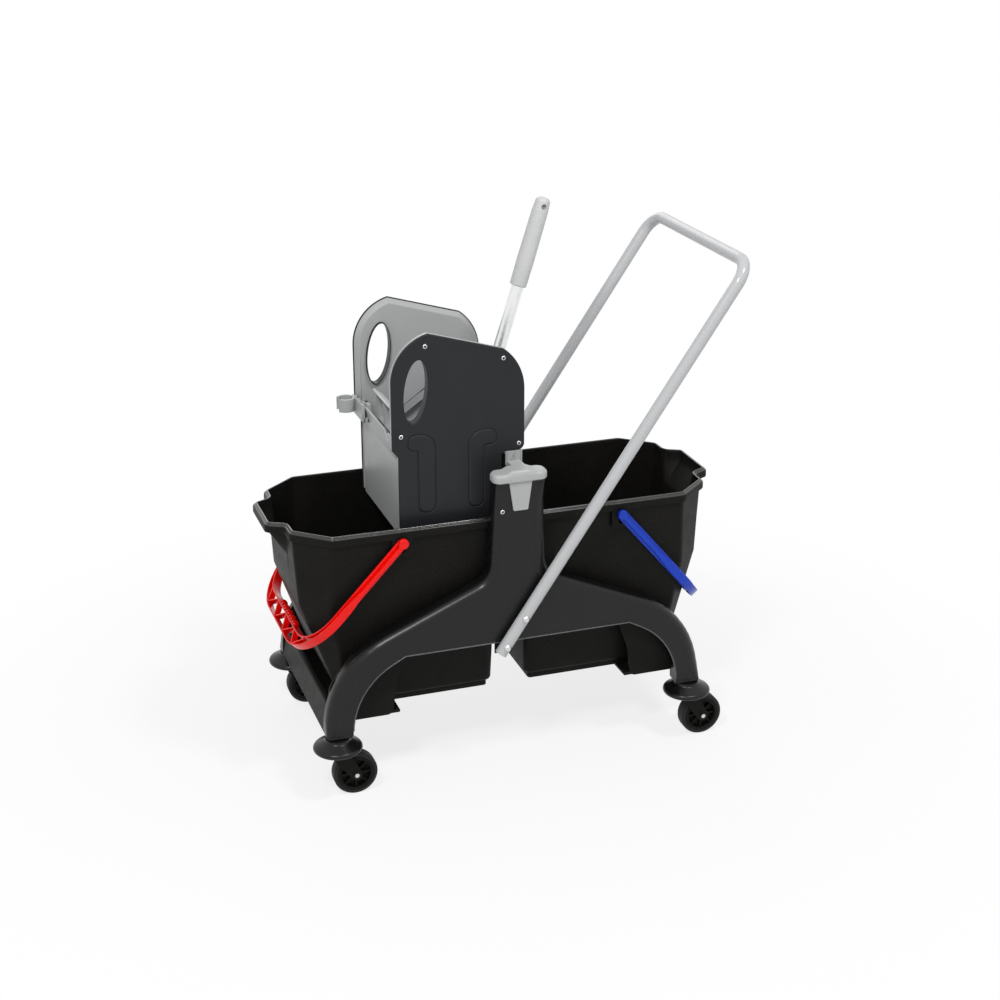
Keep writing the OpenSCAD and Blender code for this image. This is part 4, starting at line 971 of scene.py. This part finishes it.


# Dark collars round the ends of a caster's axle, painted shade: slate rings that stand for the shadow in the
# recess round each axle end
def axleShadeCollars(node):
    look = {"section": [(3.7, -0.6), (3.9, 0.2), (4.4, 0.5), (5.8, 0.5), (6.4, 0.2), (6.5, -0.6)],
            "sides": 32}
    low, high = boxMm(node)
    middle = (low + high) / 2
    bm = bmesh.new()
    for end, side in ((low.y, -1), (high.y, 1)):
        rings = [ringRoundY(middle.x, end + side * y, middle.z, radius, look["sides"])
                 for radius, y in look["section"]]
        openLoft(bm, rings + rings[:1])
    bmesh.ops.remove_doubles(bm, verts=bm.verts, dist=mergeDist)
    makePiece(node + "_shade_collars", bm, bodyOf[node], slate)


gripRings()
for caster in casters:
    axleShadeCollars("axle_" + caster)
print("grip rings and axle collars done")


# Screws: a shallow head with a rolled edge and a round recess, one on each solid of the node
def screws(node, body):
    look = {"section": [(4, -1), (4, 0.5), (3.8, 0.95), (3.2, 1.3), (2.7, 1.5), (2.3, 1.45), (2.0, 1.1),
                        (1.9, -0.6)], "sides": 28, "headHeight": 1.8}
    found = bmesh.new()
    found.from_mesh(nodes[node].data)
    bmesh.ops.remove_doubles(found, verts=found.verts, dist=mergeDist * mm)
    left = dict.fromkeys(found.verts)
    bm = bmesh.new()
    while left:
        queue, spots = [left.popitem()[0]], []
        while queue:
            vert = queue.pop()
            spots.append(vert.co / mm)
            near = [e.other_vert(vert) for e in vert.link_edges if e.other_vert(vert) in left]
            for v in near:
                left.pop(v)
            queue += near
        x, y, z = [(min(p[i] for p in spots) + max(p[i] for p in spots)) / 2 for i in range(3)]
        side = math.copysign(1, y)
        seat = max(abs(p.y) for p in spots) - look["headHeight"]
        loft(bm, [ringRoundY(x, side * (seat + rise), z, radius, look["sides"])
                  for radius, rise in look["section"]])
    found.free()
    makePiece(node + "_heads", bm, body, steel, [node])


screws("panel_screws", "wringer")
screws("tower_screws", "carrier")
print("screws done")

# The other rigid pieces keep their CAD shape, with corners softened by a width in mm
softened = [
    (["end_cradle_left", "end_cradle_right"], black, 1.0),
    (["front_wall", "rear_wall", "sieve_floor", "mop_clip"], midGrey, 0.8),
    (["lever_grip"], gripGrey, 0.6),
    (["lever_yoke"], slate, 0.8),
    (["lever_tube"], aluminium, 0.3),
    (["lever_shaft", "jaw_hinge_pin", "jaw_pins"], steel, 0.4),
    (["crank_near", "crank_far", "pull_link_near", "pull_link_far"], zinc, 0.5),
    (["bar_bolts"], steel, 0.8),
    (["bumper_" + c for c in casters], slate, 0.6),
    (["fork_" + c for c in casters], black, 0.8),
    (["axle_" + c for c in casters], steel, 0.6),
    (["wheel_" + c for c in casters], black, 0.5),
    (["tyre_" + c for c in casters], rubber, 0.8),
]
for names, finish, width in softened:
    for node in names:
        softCopy(node, finish, width)
print("softened CAD pieces done")


# 1 for rays from the camera and for what metal and clear pieces show
def seenRays(tree):
    ray = addNode(tree, "ShaderNodeLightPath").outputs
    seen = ray["Is Camera Ray"]
    for kind in ("Is Glossy Ray", "Is Transmission Ray"):
        seen = addNode(tree, "ShaderNodeMath", {0: seen, 1: ray[kind]}, operation="MAXIMUM").outputs[0]
    return seen


# Floor: white, with the trolley's soft shadow, and plain white further out
def floorMaterial():
    look = {"white": 0.95, "plain": 0.78, "from": 0.45, "to": 1.3}
    material, tree, shader, place = newMaterial("paleFloor")
    tree.nodes.remove(shader)
    far = addNode(tree, "ShaderNodeVectorMath", {0: place}, operation="LENGTH")
    fade = addNode(tree, "ShaderNodeMapRange", {
        "Value": far.outputs["Value"], "From Min": look["from"], "From Max": look["to"],
        "To Min": look["plain"], "To Max": 1}, interpolation_type="SMOOTHSTEP")
    shares = {0: seenRays(tree), 1: fade.outputs["Result"]}
    share = addNode(tree, "ShaderNodeMath", shares, operation="MULTIPLY")
    lit = addNode(tree, "ShaderNodeBsdfDiffuse", {"Color": (look["white"], look["white"], look["white"], 1)})
    plain = addNode(tree, "ShaderNodeEmission", {"Color": (1, 1, 1, 1), "Strength": 1})
    mixed = addNode(tree, "ShaderNodeMixShader", {
        0: share.outputs[0], 1: lit.outputs[0], 2: plain.outputs[0]})
    tree.links.new(mixed.outputs[0], tree.nodes["Material Output"].inputs["Surface"])
    return material


def studio():
    look = {"floor": 14, "floorSides": 64, "worldLight": 0.42, "aim": Vector((0, 0, 0.4)),
            "camera": (-0.9715, -2.8995, 1.6681), "tilt": 68.26, "turn": -19.03, "lens": 64.77,
            "sensor": 36, "clipEnd": 60,
            "lamps": {"leftBox": [(-1.42, -1.78, 2.86), 0.6, 42], "topBox": [(0.75, -1.25, 2.9), 0.5, 26],
                      "back": [(0.3, 2.8, 1.9), 1.8, 12]}}
    bm = bmesh.new()
    bmesh.ops.create_circle(bm, cap_ends=True, segments=look["floorSides"], radius=look["floor"])
    mesh = bpy.data.meshes.new("floor")
    bm.to_mesh(mesh)
    bm.free()
    mesh.materials.append(floorMaterial())
    floor = bpy.data.objects.new("floor", mesh)
    scene.collection.objects.link(floor)

    world = bpy.data.worlds.new("studio")
    world.use_nodes = True
    scene.world = world
    tree = world.node_tree
    sky = tree.nodes["Background"]
    sky.inputs["Color"].default_value = (1, 1, 1, 1)
    strength = mapped(tree, seenRays(tree), (0, 1), look["worldLight"], 1)
    tree.links.new(strength, sky.inputs["Strength"])

    for name, (place, size, power) in look["lamps"].items():
        light = bpy.data.lights.new(name, "AREA")
        light.shape = "DISK"
        light.size = size
        light.energy = power
        lamp = bpy.data.objects.new(name, light)
        lamp.location = place
        lamp.rotation_euler = (look["aim"] - lamp.location).to_track_quat("-Z", "Y").to_euler()
        scene.collection.objects.link(lamp)

    view = bpy.data.cameras.new("camera")
    view.lens = look["lens"]
    view.sensor_width = look["sensor"]
    view.clip_end = look["clipEnd"]
    camera = bpy.data.objects.new("camera", view)
    camera.location = look["camera"]
    camera.rotation_euler = (math.radians(look["tilt"]), 0, math.radians(look["turn"]))
    scene.collection.objects.link(camera)
    scene.camera = camera
    scene.view_settings.view_transform = "Standard"


studio()
print("studio ready")
